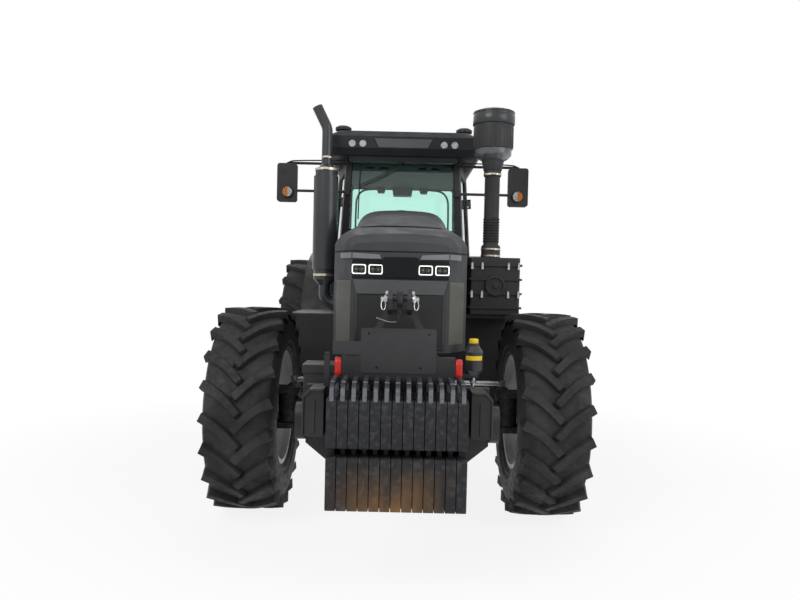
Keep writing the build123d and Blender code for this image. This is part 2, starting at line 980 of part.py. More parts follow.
# Hood: a shell lofted over its sections, open below and behind, with openings for the front and side meshes
def hood_section(y, half, side_top, crown_half, crown_edge, peak):
    """One section of the hood across Y, from its bottom edge to the crown."""
    shoulder = (
        half - shoulder_inset * (half - crown_half), side_top + shoulder_rise * (crown_edge - side_top)
    )
    with BuildSketch(Plane.XZ.offset(-y)) as section:
        with BuildLine():
            Polyline(
                (-half, side_top), (-half, hood_bottom - hood_gap), (half, hood_bottom - hood_gap),
                (half, side_top),
            )
            ThreePointArc((half, side_top), shoulder, (crown_half, crown_edge))
            ThreePointArc((crown_half, crown_edge), (0, peak), (-crown_half, crown_edge))
            ThreePointArc((-crown_half, crown_edge), (-shoulder[0], shoulder[1]), (-half, side_top))
        make_face()
    return section.sketch


def hood_form(inset):
    """The hood's outer form, or the same moved inwards by inset and run on past the rear."""
    rear = hood_rear_y + 4 * inset
    crown = crown_half_width - inset / 2
    sections = (
        (
            hood_front_y + inset, nose_half_width - inset, hood_nose_top - inset, crown - nose_crown_step,
            hood_nose_top + nose_edge_rise - inset, hood_nose_top + nose_peak_rise - inset,
        ),
        (
            hood_front_y + nose_slope / 3 + inset / 2,
            nose_half_width + corner_half_step - inset,
            hood_nose_top + corner_top_rise - inset,
            crown - corner_top_rise,
            crown_edge_z - corner_edge_drop - inset,
            crown_edge_z - corner_peak_drop - inset,
        ),
        (
            hood_front_y + nose_slope + inset / 4, hood_half_width - inset,
            hood_nose_top + side_top_rise - inset, crown, crown_edge_z - inset,
            crown_edge_z + crown_peak_rise - inset,
        ),
        (
            rear,
            hood_half_width - inset,
            hood_nose_top + side_top_rise + hood_rise / 2 - inset,
            crown,
            hood_rear_z - hood_gap - inset,
            hood_rear_z - inset,
        ),
    )
    return loft([hood_section(*values) for values in sections], ruled=True)


outer_form = hood_form(0)
inner_form = hood_form(hood_wall)
mesh_bottom = hood_bottom + mesh_lift
mesh_top = mesh_bottom + nose_height / 2
lamp_z = mesh_top + lamp_rise
skirt_y = hood_front_y + nose_slope
with BuildPart() as hood_ears:
    for side in (1, -1):
        plate(
            (
                (hinge_y - hinge_drop / 3, hinge_z - hinge_drop / 3),
                (hinge_y + hinge_drop / 3, hinge_z - hinge_drop / 3),
                (hinge_y + hinge_drop / 2, hood_rear_z),
                (hinge_y - hinge_drop / 2, hood_rear_z),
            ),
            side * hinge_ear_x,
            side * (hinge_ear_x + hinge_ear_width),
        )
    rod(
        (-hood_half_width, hinge_y, hinge_z), (hood_half_width, hinge_y, hinge_z), hinge_pin_radius + fit,
        Mode.SUBTRACT,
    )
    add(outer_form, mode=Mode.INTERSECT)
with BuildPart() as hood:
    add(outer_form)
    add(inner_form, mode=Mode.SUBTRACT)
    reach = 2 * hood_half_width
    plate(
        (
            (hood_front_y - reach, hood_bottom - reach),
            (hood_front_y - reach, hood_bottom),
            (skirt_y, hood_bottom),
            (skirt_y + hood_length / 4, hood_bottom + hood_rise),
            (hood_rear_y + reach, hood_bottom + skirt_rise),
            (hood_rear_y + reach, hood_bottom - reach),
        ),
        -reach,
        reach,
        0,
        Mode.SUBTRACT,
    )
    flange(
        (
            (-mesh_half_width, mesh_bottom), (mesh_half_width, mesh_bottom),
            (mesh_half_width - hood_wall, mesh_top), (-mesh_half_width + hood_wall, mesh_top),
        ),
        hood_front_y - hood_gap,
        hood_front_y + hood_gap,
        0,
        Mode.SUBTRACT,
    )
    for side in (1, -1):
        for x in (lamp_inner_x, lamp_outer_x):
            block(
                (side * x - lamp_width / 2, hood_front_y - lamp_depth, lamp_z - lamp_height / 2),
                (side * x + lamp_width / 2, hood_front_y + lamp_depth, lamp_z + lamp_height / 2),
                Mode.SUBTRACT,
            )
        plate(
            (
                (skirt_y + 3 * hood_wall, mesh_top - hood_gap),
                (skirt_y + hood_length / 4, mesh_top - hood_gap + hood_wall),
                (skirt_y + hood_length / 2, mesh_top + hood_gap),
                (skirt_y + hood_length / 2, mesh_top + 4 * hood_gap),
                (skirt_y + 3 * hood_wall, mesh_top + 3 * hood_gap),
            ),
            side * (hood_half_width - 5 * hood_wall),
            side * reach,
            3 * hood_wall,
            Mode.SUBTRACT,
        )
    add(hood_ears.part)
write(hood, "hood")

# Meshes seated in the hood's front and side openings
with BuildPart() as grille:
    flange(
        (
            (-mesh_half_width + seat, mesh_bottom + seat),
            (mesh_half_width - seat, mesh_bottom + seat),
            (mesh_half_width - hood_wall - seat, mesh_top - seat),
            (-mesh_half_width + hood_wall + seat, mesh_top - seat),
        ),
        hood_front_y + mesh_thickness / 2,
        hood_front_y + mesh_thickness + mesh_thickness / 2,
    )
    for side in (1, -1):
        plate(
            (
                (skirt_y + 3 * hood_wall + seat, mesh_top - hood_gap + 2 * seat),
                (skirt_y + hood_length / 4, mesh_top - hood_gap + hood_wall + 2 * seat),
                (skirt_y + hood_length / 2 - seat, mesh_top + hood_gap + 2 * seat),
                (skirt_y + hood_length / 2 - seat, mesh_top + 4 * hood_gap - 2 * seat),
                (skirt_y + 3 * hood_wall + seat, mesh_top + 3 * hood_gap - 2 * seat),
            ),
            side * (hood_half_width - hood_wall + mesh_inset),
            side * (hood_half_width - mesh_inset),
            3 * hood_wall,
        )
write(grille, "grille")

# Headlamps in their recesses
with BuildPart() as headlamps:
    for side in (1, -1):
        for x in (lamp_inner_x, lamp_outer_x):
            width, height = lamp_width / 2 - seat, lamp_height / 2 - seat
            flange(
                (
                    (side * x - width, lamp_z - height), (side * x + width, lamp_z - height),
                    (side * x + width, lamp_z + height), (side * x - width, lamp_z + height),
                ),
                hood_front_y - mesh_thickness / 3,
                hood_front_y + lamp_depth,
                0,
            )
write(headlamps, "headlamps")

# Exhaust: an elbow from the engine's side, a tall silencer and a stack with a bent tip
silencer_y = front_y + silencer_back
silencer_bottom = rail_top + silencer_lift + silencer_rise
silencer_top = silencer_bottom + silencer_height
stack_top = silencer_top + stack_height
with BuildPart() as exhaust:
    pipe_z = rail_top + silencer_lift
    upright(
        (-silencer_x, silencer_y, 0),
        (
            (0, silencer_bottom),
            (elbow_radius, silencer_bottom),
            (silencer_radius, silencer_bottom + elbow_radius),
            (silencer_radius, silencer_top - elbow_radius),
            (stack_radius, silencer_top),
            (0, silencer_top),
        ),
    )
    with BuildLine() as elbow_line:
        FilletPolyline(
            (-frame_half_width - seat, silencer_y, pipe_z),
            (-silencer_x, silencer_y, pipe_z),
            (-silencer_x, silencer_y, silencer_bottom + elbow_radius / 2),
            radius=2 * elbow_radius,
        )
    with BuildSketch(
        Plane(origin=(-frame_half_width - seat, silencer_y, pipe_z), z_dir=(-1, 0, 0))
    ) as elbow:
        Circle(elbow_radius)
    sweep(elbow.sketch, path=elbow_line.wires()[0])
    with BuildLine() as stack_line:
        FilletPolyline(
            (-silencer_x, silencer_y, silencer_top - stack_radius),
            (-silencer_x, silencer_y, stack_top - 4 * stack_radius),
            (-silencer_x - 2 * stack_radius, silencer_y, stack_top),
            radius=3 * stack_radius,
        )
    with BuildSketch(Plane.XY.offset(silencer_top - stack_radius)) as stack:
        with Locations((-silencer_x, silencer_y)):
            Circle(stack_radius)
    sweep(stack.sketch, path=stack_line.wires()[0])
write(exhaust, "exhaust")

# Air cleaner: a ribbed box on a shelf that reaches out from the engine, with its intake pipe on top
cleaner_y = front_y + cleaner_back
cleaner_z = frame_top + shelf_lift + shelf_thickness
cleaner_top = cleaner_z + cleaner_height
intake_y = cleaner_y + cleaner_length / 2
rib = shelf_thickness / 2
with BuildPart() as cleaner:
    level(
        (
            (cleaner_x + rib, cleaner_y + rib),
            (cleaner_x + cleaner_width - rib, cleaner_y + rib),
            (cleaner_x + cleaner_width - rib, cleaner_y + cleaner_length),
            (cleaner_x + rib, cleaner_y + cleaner_length),
        ),
        cleaner_z,
        cleaner_top,
        rib,
    )
    for i in range(cleaner_ribs):
        z = cleaner_z + first_rib + i * cleaner_height / cleaner_ribs
        level(
            (
                (cleaner_x, cleaner_y),
                (cleaner_x + cleaner_width, cleaner_y),
                (cleaner_x + cleaner_width, cleaner_y + cleaner_length),
                (cleaner_x, cleaner_y + cleaner_length),
            ),
            z,
            z + rib,
            rib,
        )
    rod(
        (cleaner_x + cleaner_width / 2, cleaner_y, cleaner_z + cleaner_height / 2),
        (cleaner_x + cleaner_width / 2, cleaner_y + 2 * rib, cleaner_z + cleaner_height / 2),
        5 * rib,
    )
    level(
        (
            (frame_half_width + seat, cleaner_y + 4 * rib),
            (cleaner_x + cleaner_width, cleaner_y + 4 * rib),
            (cleaner_x + cleaner_width, cleaner_y + cleaner_length),
            (frame_half_width + seat, cleaner_y + cleaner_length),
        ),
        cleaner_z - shelf_thickness,
        cleaner_z,
    )
    upright(
        (intake_x, intake_y, 0),
        (
            (0, cleaner_top - rib),
            (intake_radius + rib, cleaner_top - rib),
            (intake_radius + rib, cleaner_top + 6 * rib),
            (intake_radius, cleaner_top + 7 * rib),
            (intake_radius, cleaner_top + intake_height - 3 * rib),
            (intake_radius + rib / 2, cleaner_top + intake_height - 3 * rib),
            (intake_radius + rib / 2, cleaner_top + intake_height),
            (0, cleaner_top + intake_height),
        ),
    )
write(cleaner, "air_cleaner")

# Precleaner: a bowl on the pipe's end with a wide lid
bowl_z = cleaner_top + intake_height + seat
with BuildPart() as precleaner:
    upright(
        (intake_x, intake_y, 0),
        (
            (0, bowl_z),
            (intake_radius + rib, bowl_z),
            (intake_radius + 2 * rib, bowl_z + 5 * rib),
            (bowl_radius - rib, bowl_z + 8 * rib),
            (bowl_radius - rib, bowl_z + bowl_height - 3 * rib),
            (bowl_radius, bowl_z + bowl_height - 3 * rib),
            (bowl_radius, bowl_z + bowl_height - rib),
            (bowl_radius - 3 * rib, bowl_z + bowl_height),
            (0, bowl_z + bowl_height),
        ),
    )
write(precleaner, "precleaner")

# Accumulator bottle on a bracket at the left, battery box at the right
bottle_y = front_y - bottle_forward
with BuildPart() as bottle:
    bracket_z = frame_top - bottle_drop
    upright(
        (bottle_x, bottle_y, 0),
        (
            (0, bracket_z),
            (bottle_radius / 2, bracket_z),
            (bottle_radius, bracket_z + bottle_neck),
            (bottle_radius, bracket_z + bottle_height - bottle_neck),
            (bottle_neck, bracket_z + bottle_height),
            (bottle_neck, bracket_z + bottle_height + rib),
            (0, bracket_z + bottle_height + rib),
        ),
    )
    block(
        (frame_half_width + seat, bottle_y - bottle_radius / 2, bracket_z - rib / 2),
        (bottle_x + bottle_radius / 2, bottle_y + bottle_radius / 2, bracket_z + rib),
    )
write(bottle, "accumulator")
with BuildPart() as battery:
    battery_y = front_y - battery_forward
    level(
        (
            (-frame_half_width - seat, battery_y),
            (-frame_half_width - battery_width, battery_y),
            (-frame_half_width - battery_width, battery_y + battery_length),
            (-frame_half_width - seat, battery_y + battery_length),
        ),
        frame_bottom + rib * 2,
        frame_bottom + rib * 2 + battery_height,
    )
    level(
        (
            (-frame_half_width - rib, battery_y - rib / 2),
            (-frame_half_width - battery_width - rib / 2, battery_y - rib / 2),
            (-frame_half_width - battery_width - rib / 2, battery_y + battery_length + rib / 2),
            (-frame_half_width - rib, battery_y + battery_length + rib / 2),
        ),
        frame_bottom + battery_height - rib,
        frame_bottom + battery_height + rib * 2,
    )
write(battery, "battery_box")

# Moulded tanks beside the gearbox, longer and lower on the right
tank_y = front_y + tank_back
tank_top = floor_bottom - tank_gap
with BuildPart() as tanks:
    for side, length, height in ((1, tank_length, tank_height), (-1, tank_right_length, tank_right_height)):
        level(
            (
                (side * (frame_half_width + seat), tank_y),
                (side * tank_outer_x, tank_y),
                (side * tank_outer_x, tank_y + length),
                (side * (frame_half_width + seat), tank_y + length),
            ),
            tank_top - height,
            tank_top,
        )
    long_edges = tanks.edges().filter_by(Axis.Y).filter_by_position(Axis.Z, 0, 2 * wheelbase)
    outer_edges = [edge for edge in long_edges if abs(edge.center().X) > tank_outer_x - tank_corner]
    fillet(outer_edges, tank_corner)
    chamfer(tanks.faces().filter_by(Plane.XZ).edges().filter_by(GeomType.CIRCLE), tank_corner / 7)
write(tanks, "fuel_tanks")

# Steps to the left door: two hanging side plates and their treads
step_y = tank_y + tank_length + 2 * tank_gap
step_top = floor_bottom - seat
step_bottom = tank_top - step_count * step_rise
with BuildPart() as steps:
    for y in (step_y, step_y + step_length - rib):
        flange(
            (
                (frame_half_width + seat, step_top - step_rise / 2),
                (tank_outer_x - step_width, step_top - step_rise),
                (tank_outer_x - step_width / 2, step_bottom),
                (tank_outer_x, step_bottom),
                (tank_outer_x, step_bottom + step_plate * 2),
                (tank_outer_x - step_width / 4, step_top),
                (frame_half_width + seat, step_top),
            ),
            y,
            y + rib,
        )
    for i in range(step_count):
        z = step_bottom + i * step_rise
        block((tank_outer_x - step_width / 2 - i * step_width / 8, step_y, z),
              (tank_outer_x - i * step_width / 10, step_y + step_length, z + step_plate))
write(steps, "steps")


# Cab: corners of its plan at the floor and under the roof, from the front to the rear, on the left
cab_y = front_y + cab_back
door_slope = (cab_middle_half - cab_front_half) / door_length
top_middle_half = cab_front_top_half + door_slope * (door_length - cab_lean)
neck_slope = cab_neck / (cab_middle_half - cab_lower_half)
low_corners = (
    (cab_front_half, cab_y),
    (cab_middle_half, cab_y + door_length),
    (cab_lower_half, cab_y + door_length + cab_neck),
    (cab_lower_half, cab_y + cab_length),
)
high_corners = (
    (cab_front_top_half, cab_y + cab_lean),
    (top_middle_half, cab_y + door_length),
    (cab_upper_half, cab_y + door_length + neck_slope * (top_middle_half - cab_upper_half)),
    (cab_upper_half, cab_y + cab_length - cab_rear_lean),
)


def cab_section(z, inset):
    """The cab's plan at a height, with its walls moved inwards by inset."""
    share = (z - floor_bottom) / cab_height
    half_plan = [
        (a[0] + share * (b[0] - a[0]), a[1] + share * (b[1] - a[1]))
        for a, b in zip(low_corners, high_corners)
    ]
    with BuildSketch(Plane.XY.offset(z)) as section:
        Polygon(*half_plan, *((-x, y) for x, y in reversed(half_plan)), align=None)
        if inset:
            offset(amount=-inset, kind=Kind.INTERSECTION)
    return section.sketch


def wall_plane(origin, along, up):
    """A plane on a wall from a point, a level direction and a rising one, with its normal outwards."""
    return Plane(origin=origin, x_dir=along, z_dir=Vector(*along).cross(Vector(*up)))


def corner(points, index, z):
    """A corner of the cab as a point in space."""
    return Vector(*points[index], z)


low_front, low_middle, low_neck, low_rear = (corner(low_corners, i, floor_bottom) for i in range(4))
high_front, high_middle, high_neck, high_rear = (corner(high_corners, i, cab_top) for i in range(4))
screen_plane = wall_plane(
    (0, cab_y, floor_bottom),
    (1, 0, 0),
    tuple(high_front - low_front - Vector((high_front - low_front).X, 0, 0)),
)
rear_plane = wall_plane((0, low_rear.Y, floor_bottom), (-1, 0, 0), (0, -cab_rear_lean, cab_height))
door_plane = wall_plane(tuple(low_middle), tuple(low_middle - low_front), tuple(high_middle - low_middle))
side_plane = wall_plane(
    tuple(low_neck), (0, 1, 0), tuple(high_rear - low_rear - Vector(0, (high_rear - low_rear).Y, 0))
)


def on_wall(plane, points):
    """Points in space as points on a wall's plane."""
    local = [plane.to_local_coords(point) for point in points]
    return [(point.X, point.Y) for point in local]


def wall_sketch(plane, outline, inset, radius):
    """An outline on a wall, moved inwards by inset, with rounded corners."""
    with BuildSketch(plane) as sketch:
        Polygon(*outline, align=None)
        offset(amount=-inset, kind=Kind.INTERSECTION)
        fillet(sketch.vertices(), radius)
    return sketch.sketch


def between(low, high, z):
    """The point at a height on the line between two points."""
    return low + (high - low) * ((z - low.Z) / (high.Z - low.Z))


screen_top_z = cab_top + window_border - screen_header
screen_outline = [
    between(low_front, high_front, floor_bottom + screen_sill), between(low_front, high_front, screen_top_z)
]
screen_outline += [Vector(-p.X, p.Y, p.Z) for p in reversed(screen_outline)]
rear_outline = [
    between(low_rear, high_rear, floor_bottom + rear_sill), between(low_rear, high_rear, cab_top)
]
rear_outline += [Vector(-p.X, p.Y, p.Z) for p in reversed(rear_outline)]
side_sill_z = 2 * rear_radius + fender_gap + fender_wall + tank_gap
side_outline = [between(low_neck, high_neck, side_sill_z), between(low_neck, high_neck, cab_top),
                between(low_rear, high_rear, cab_top), between(low_rear, high_rear, side_sill_z)]
door_foot_z = floor_top + door_gap - window_border
door_outline = [between(low_front, high_front, door_foot_z), between(low_middle, high_middle, door_foot_z),
                between(low_middle, high_middle, cab_top), between(low_front, high_front, cab_top)]
windows = [(screen_plane, screen_outline), (rear_plane, rear_outline), (side_plane, side_outline)]
cut_reach = 2 * cab_wall

# Hinges of the left door: levels up the rear pillar, whose edge is the hinge plane's upright direction
pillar_line = (high_middle - low_middle).normalized()
hinge_plane = Plane(
    origin=tuple(low_middle), x_dir=tuple(pillar_line.cross(door_plane.z_dir)), z_dir=door_plane.z_dir
)
hinge_levels = (door_frame * 5, cab_height - door_frame * 6)


def hinge_slab(low, high, outline):
    """A plate across the door's hinge line, from its plan as (along, outward) points."""
    start = hinge_plane.from_local_coords(Vector(0, low, 0))
    with BuildSketch(Plane(origin=start, x_dir=hinge_plane.x_dir, z_dir=hinge_plane.y_dir)) as profile:
        Polygon(*((u, -w) for u, w in outline), align=None)
    return extrude(profile.sketch, amount=high - low)


def hinge_bar(low, high, radius):
    """A bar along the door's hinge line."""
    start = hinge_plane.from_local_coords(Vector(0, low, door_pin_out))
    with BuildSketch(Plane(origin=start, z_dir=hinge_plane.y_dir)) as profile:
        Circle(radius)
    return extrude(profile.sketch, amount=high - low)


bracket_thickness = door_ear_radius
bracket_reach = door_pin_out + door_ear_radius
hinge_bracket = (
    (-door_ear_radius, bracket_reach),
    (-door_ear_radius, door_pin_out - door_ear_radius),
    (0, door_pin_out - door_ear_radius),
    (0, -door_thickness / 2),
    (door_thickness, -door_thickness / 2),
    (door_thickness, bracket_reach / 2),
    (door_ear_radius, bracket_reach),
)
hinge_ear = (
    (-2 * window_border, -door_thickness / 2),
    (-window_border - door_gap, -door_thickness / 2),
    (-window_border - door_gap, door_ear_skin),
    (0, door_pin_out - door_ear_radius),
    (0, bracket_reach),
    (-window_border - door_gap, bracket_reach / 2),
    (-2 * window_border, door_ear_skin),
)
brackets = []
ears = []
ear_bores = []
for level_up in hinge_levels:
    ear_top = level_up + door_ear_height
    for low in (level_up - side_play - bracket_thickness, ear_top + side_play):
        brackets.append(hinge_slab(low, low + bracket_thickness, hinge_bracket))
    brackets.append(
        hinge_bar(
            level_up - side_play - bracket_thickness / 2,
            ear_top + side_play + bracket_thickness / 2,
            door_pin_radius,
        ),
    )
    ears.append(hinge_slab(level_up, ear_top, hinge_ear))
    ears.append(hinge_bar(level_up, ear_top, door_ear_radius))
    ear_bores.append(hinge_bar(level_up - side_play, ear_top + side_play, door_pin_radius + fit))

openings = [
    extrude(
        wall_sketch(plane, on_wall(plane, outline), window_border, window_border / 2),
        amount=cut_reach,
        both=True,
    )
    for plane, outline in (*windows, (door_plane, door_outline))
]
openings += [opening.mirror(Plane.YZ) for opening in openings[2:]]
with BuildPart() as cab:
    loft([cab_section(floor_bottom, 0), cab_section(cab_top, 0)], ruled=True)
    loft(
        [cab_section(floor_top, cab_wall), cab_section(cab_top + floor_thickness, cab_wall)],
        ruled=True,
        mode=Mode.SUBTRACT,
    )
    for opening in openings:
        add(opening, mode=Mode.SUBTRACT)
    for piece in brackets:
        add(piece)
        add(piece.mirror(Plane.YZ))
write(cab, "cab_frame")

# Fixed panes: windscreen, rear window and the two side windows
with BuildPart() as glass:
    for plane, outline in windows:
        pane = extrude(
            wall_sketch(
                plane.offset(-glass_depth), on_wall(plane, outline), window_border + seat, window_border / 2
            ),
            amount=-glass_thickness,
            mode=Mode.PRIVATE,
        )
        add(pane)
        if plane is side_plane:
            add(pane.mirror(Plane.YZ))
write(glass, "cab_glass")

# Doors, each a frame round one pane, with ears on the hinge line
door_points = on_wall(door_plane, door_outline)
door_inset = window_border + door_gap
with BuildPart() as door_left:
    extrude(wall_sketch(door_plane, door_points, door_inset, window_border / 2), amount=-door_thickness)
    extrude(
        wall_sketch(door_plane, door_points, door_inset + door_frame, window_border / 2),
        amount=door_thickness,
        both=True,
        mode=Mode.SUBTRACT,
    )
    for piece in ears:
        add(piece)
    for piece in ear_bores:
        add(piece, mode=Mode.SUBTRACT)
write(door_left, "door_left")
with BuildPart() as door_right:
    mirror(door_left.part, about=Plane.YZ)
write(door_right, "door_right")
with BuildPart() as pane_left:
    extrude(
        wall_sketch(
            door_plane.offset(-glass_depth), door_points, door_inset + door_frame + seat, window_border / 2
        ),
        amount=-glass_thickness,
    )
write(pane_left, "door_glass_left")
with BuildPart() as pane_right:
    mirror(pane_left.part, about=Plane.YZ)
write(pane_right, "door_glass_right")

# Roof: rounded slab that overhangs in front, with recesses for its lamps
roof_front_y = high_front.Y - roof_front - cab_lean / 2
roof_rear_y = high_rear.Y + roof_back
roof_middle_y = (roof_front_y + roof_rear_y) / 2
lamp_level = cab_top + roof_lamp_rise
roof_levels = (
    (0, roof_foot_inset), (roof_height / 4, 0), (roof_shoulder, roof_shoulder_inset),
    (roof_height, roof_top_inset),
)
roof_lamps = [(side * x, y, way) for side in (1, -1) for x in (roof_lamp_inner_x, roof_lamp_outer_x)
              for y, way in ((roof_front_y, 1), (roof_rear_y, -1))]
with BuildPart() as roof:
    for rise, inset in roof_levels:
        with BuildSketch(Plane.XY.offset(cab_top + seat + rise)):
            with Locations((0, roof_middle_y)):
                RectangleRounded(
                    2 * (roof_half_width - inset), roof_rear_y - roof_front_y - 2 * inset, 2 * window_border
                )
    loft(ruled=True)
    for x, y, way in roof_lamps:
        rod(
            (x, y - way * lamp_depth, lamp_level),
            (x, y + way * lamp_depth / 2, lamp_level),
            roof_lamp_radius + seat,
            Mode.SUBTRACT,
        )
write(roof, "cab_roof")

# Round lamps in the roof's recesses
with BuildPart() as lamps:
    for x, y, way in roof_lamps:
        rod(
            (x, y - way * seat, lamp_level),
            (x, y + way * (lamp_depth / 2 - seat), lamp_level),
            roof_lamp_radius,
        )
write(lamps, "work_lamps")

# Two low domes on short stems, near the roof's front corners
antenna_z = cab_top + roof_height + 2 * seat
with BuildPart() as antennas:
    for side in (1, -1):
        upright(
            (side * antenna_x, roof_front_y + antenna_x / 2, 0),
            (
                (0, antenna_z),
                (2 * antenna_stem, antenna_z),
                (antenna_stem, antenna_z + antenna_stem),
                (antenna_stem, antenna_z + 2 * antenna_stem),
                (antenna_radius, antenna_z + antenna_shoulder),
                (antenna_radius, antenna_z + 4 * antenna_stem),
                (antenna_crown, antenna_z + 5 * antenna_stem),
                (0, antenna_z + 5 * antenna_stem),
            ),
        )
write(antennas, "roof_antennas")

# Mirrors: a foot on each front pillar, two arms and a housing
arm_levels = (mirror_low, cab_height - window_border)
with BuildPart() as mirrors:
    for side in (1, -1):
        foot = [
            on_wall(screen_plane, [between(low_front, high_front, floor_bottom + z)])[0]
            for z in (mirror_low - door_frame / 2, cab_height - window_border / 2)
        ]
        outline = [
            (side * (foot[0][0] - foot_margin), foot[0][1]),
            (side * (foot[0][0] - window_border + foot_margin), foot[0][1]),
            (side * (foot[1][0] - window_border + foot_margin), foot[1][1]),
            (side * (foot[1][0] - foot_margin), foot[1][1]),
        ]
        with BuildSketch(screen_plane.offset(seat)) as base:
            Polygon(*outline, align=None)
        extrude(base.sketch, amount=2 * mirror_tube)
        head_y = 0
        for z in arm_levels:
            point = between(low_front, high_front, floor_bottom + z)
            root = Vector(side * (point.X - window_border / 2), point.Y - mirror_tube - 2 * seat, point.Z)
            head_y = root.Y
            rod(tuple(root), (side * mirror_x, root.Y, root.Z), mirror_tube)
        low_point = between(low_front, high_front, floor_bottom + arm_levels[0])
        rod(
            (side * mirror_x, low_point.Y - mirror_tube, low_point.Z - mirror_tube),
            (side * mirror_x, head_y, cab_top - mirror_drop + mirror_tube),
            mirror_tube,
        )
        head_top = cab_top - mirror_drop
        flange(
            (
                (side * (mirror_x - mirror_width / 2), head_top - mirror_height),
                (side * (mirror_x + mirror_width / 2), head_top - mirror_height),
                (side * (mirror_x + mirror_width / 2), head_top),
                (side * (mirror_x - mirror_width / 2), head_top),
            ),
            low_point.Y - mirror_depth / 2,
            low_point.Y + mirror_depth / 2,
            2 * mirror_tube,
        )
write(mirrors, "mirrors")

# Seat: a pedestal, a cushion, a backrest and two armrests
seat_y = rear_y - seat_forward
seat_z = floor_top + seat_height
with BuildPart() as driver_seat:
    for z, width in ((floor_top + seat, pedestal_foot), (seat_z - cushion, pedestal_head)):
        with BuildSketch(Plane.XY.offset(z)):
            with Locations((0, seat_y)):
                RectangleRounded(width, width, cushion / 2)
    loft(ruled=True)
    plate(
        (
            (seat_y - seat_width / 2, seat_z - cushion),
            (seat_y + seat_width / 2, seat_z - cushion),
            (seat_y + seat_width / 2, seat_z),
            (seat_y - seat_width / 2, seat_z),
        ),
        -seat_width / 2,
        seat_width / 2,
        cushion / 3,
    )
    plate(
        (
            (seat_y + seat_width / 2 - cushion, seat_z - cushion / 2),
            (seat_y + seat_width / 2, seat_z - cushion / 2),
            (seat_y + seat_width / 2 + cushion, seat_z + backrest_height),
            (seat_y + seat_width / 2, seat_z + backrest_height),
        ),
        -backrest_half,
        backrest_half,
        cushion / 3,
    )
    for side in (1, -1):
        plate(
            (
                (seat_y - seat_width / 4, seat_z + backrest_height / 3),
                (seat_y + seat_width / 2 + cushion / 3, seat_z + backrest_height / 3),
                (seat_y + seat_width / 2 + cushion / 3, seat_z + backrest_height / 3 + cushion / 2),
                (seat_y - seat_width / 4, seat_z + backrest_height / 3 + cushion / 2),
            ),
            side * armrest_x,
            side * (armrest_x + cushion / 2),
            cushion / 8,
        )
write(driver_seat, "seat")

# Steering console: a tapered dash, a leaning column and a wheel with three spokes
column_foot = Vector(0, cab_y + dash_depth, floor_top + dash_lip_height)
column_head = Vector(0, cab_y + dash_depth + column_reach, floor_top + wheel_height)
with BuildPart() as console:
    plate(
        (
            (cab_y + cab_wall + cab_lean / 2, floor_top + seat),
            (cab_y + dash_depth, floor_top + seat),
            (cab_y + dash_depth + cushion / 2, floor_top + dash_lip_height),
            (cab_y + dash_depth, floor_top + dash_height),
            (cab_y + cab_wall + cab_lean, floor_top + dash_height),
        ),
        -dash_width / 2,
        dash_width / 2,
        cushion / 3,
    )
    rod(tuple(column_foot - Vector(0, cushion, 0)), tuple(column_head), column_radius)
    tilt = Plane(origin=tuple(column_head), x_dir=(1, 0, 0), z_dir=tuple(column_head - column_foot))
    with BuildSketch(tilt.offset(-column_radius / 2)) as wheel:
        Circle(wheel_radius)
        Circle(wheel_radius - column_radius, mode=Mode.SUBTRACT)
        Circle(wheel_hub_radius)
        with Locations((0, -wheel_radius / 2)):
            Rectangle(column_radius, wheel_radius)
        Rectangle(2 * wheel_radius - column_radius, column_radius)
    extrude(wheel.sketch, amount=column_radius)
write(console, "steering_console")

# Rear fenders: an arched top and an inner skirt each
fender_inner = rear_radius + fender_gap
with BuildPart() as fenders:
    for side in (1, -1):
        start = side * (cab_lower_half + seat)
        for width, hollow in ((fender_width, True), (fender_wall, False)):
            with BuildSketch(Plane.YZ.offset(min(start, start + side * width))) as arch:
                with Locations((rear_y, rear_radius)):
                    Circle(fender_inner + fender_wall)
                    if hollow:
                        Circle(fender_inner, mode=Mode.SUBTRACT)
                    cut_level = 0 if hollow else fender_skirt
                    with Locations((0, cut_level)):
                        Rectangle(
                            3 * rear_radius, 3 * rear_radius, align=(Align.CENTER, Align.MAX),
                            mode=Mode.SUBTRACT,
                        )
            extrude(arch.sketch, amount=width)
write(fenders, "rear_fenders")

# Drawbar under the gearbox, with a pin hole at its end
drawbar_z = gearbox_bottom - drawbar_drop
hitch_pin_y = rear_y + drawbar_reach
with BuildPart() as drawbar:
    level(
        (
            (-drawbar_half, rear_y - drawbar_reach / 2),
            (drawbar_half, rear_y - drawbar_reach / 2),
            (drawbar_half, hitch_pin_y + drawbar_half),
            (-drawbar_half, hitch_pin_y + drawbar_half),
        ),
        drawbar_z,
        drawbar_z + drawbar_thickness,
        drawbar_half / 2,
    )
    flange(
        (
            (-3 * drawbar_half, gearbox_bottom - seat),
            (3 * drawbar_half, gearbox_bottom - seat),
            (hanger_half, drawbar_z),
            (-hanger_half, drawbar_z),
        ),
        rear_y - 2 * drawbar_half,
        rear_y,
    )
    rod(
        (0, hitch_pin_y, drawbar_z - drawbar_thickness),
        (0, hitch_pin_y, drawbar_z + 2 * drawbar_thickness),
        drawbar_pin_radius,
        Mode.SUBTRACT,
    )
write(drawbar, "drawbar")

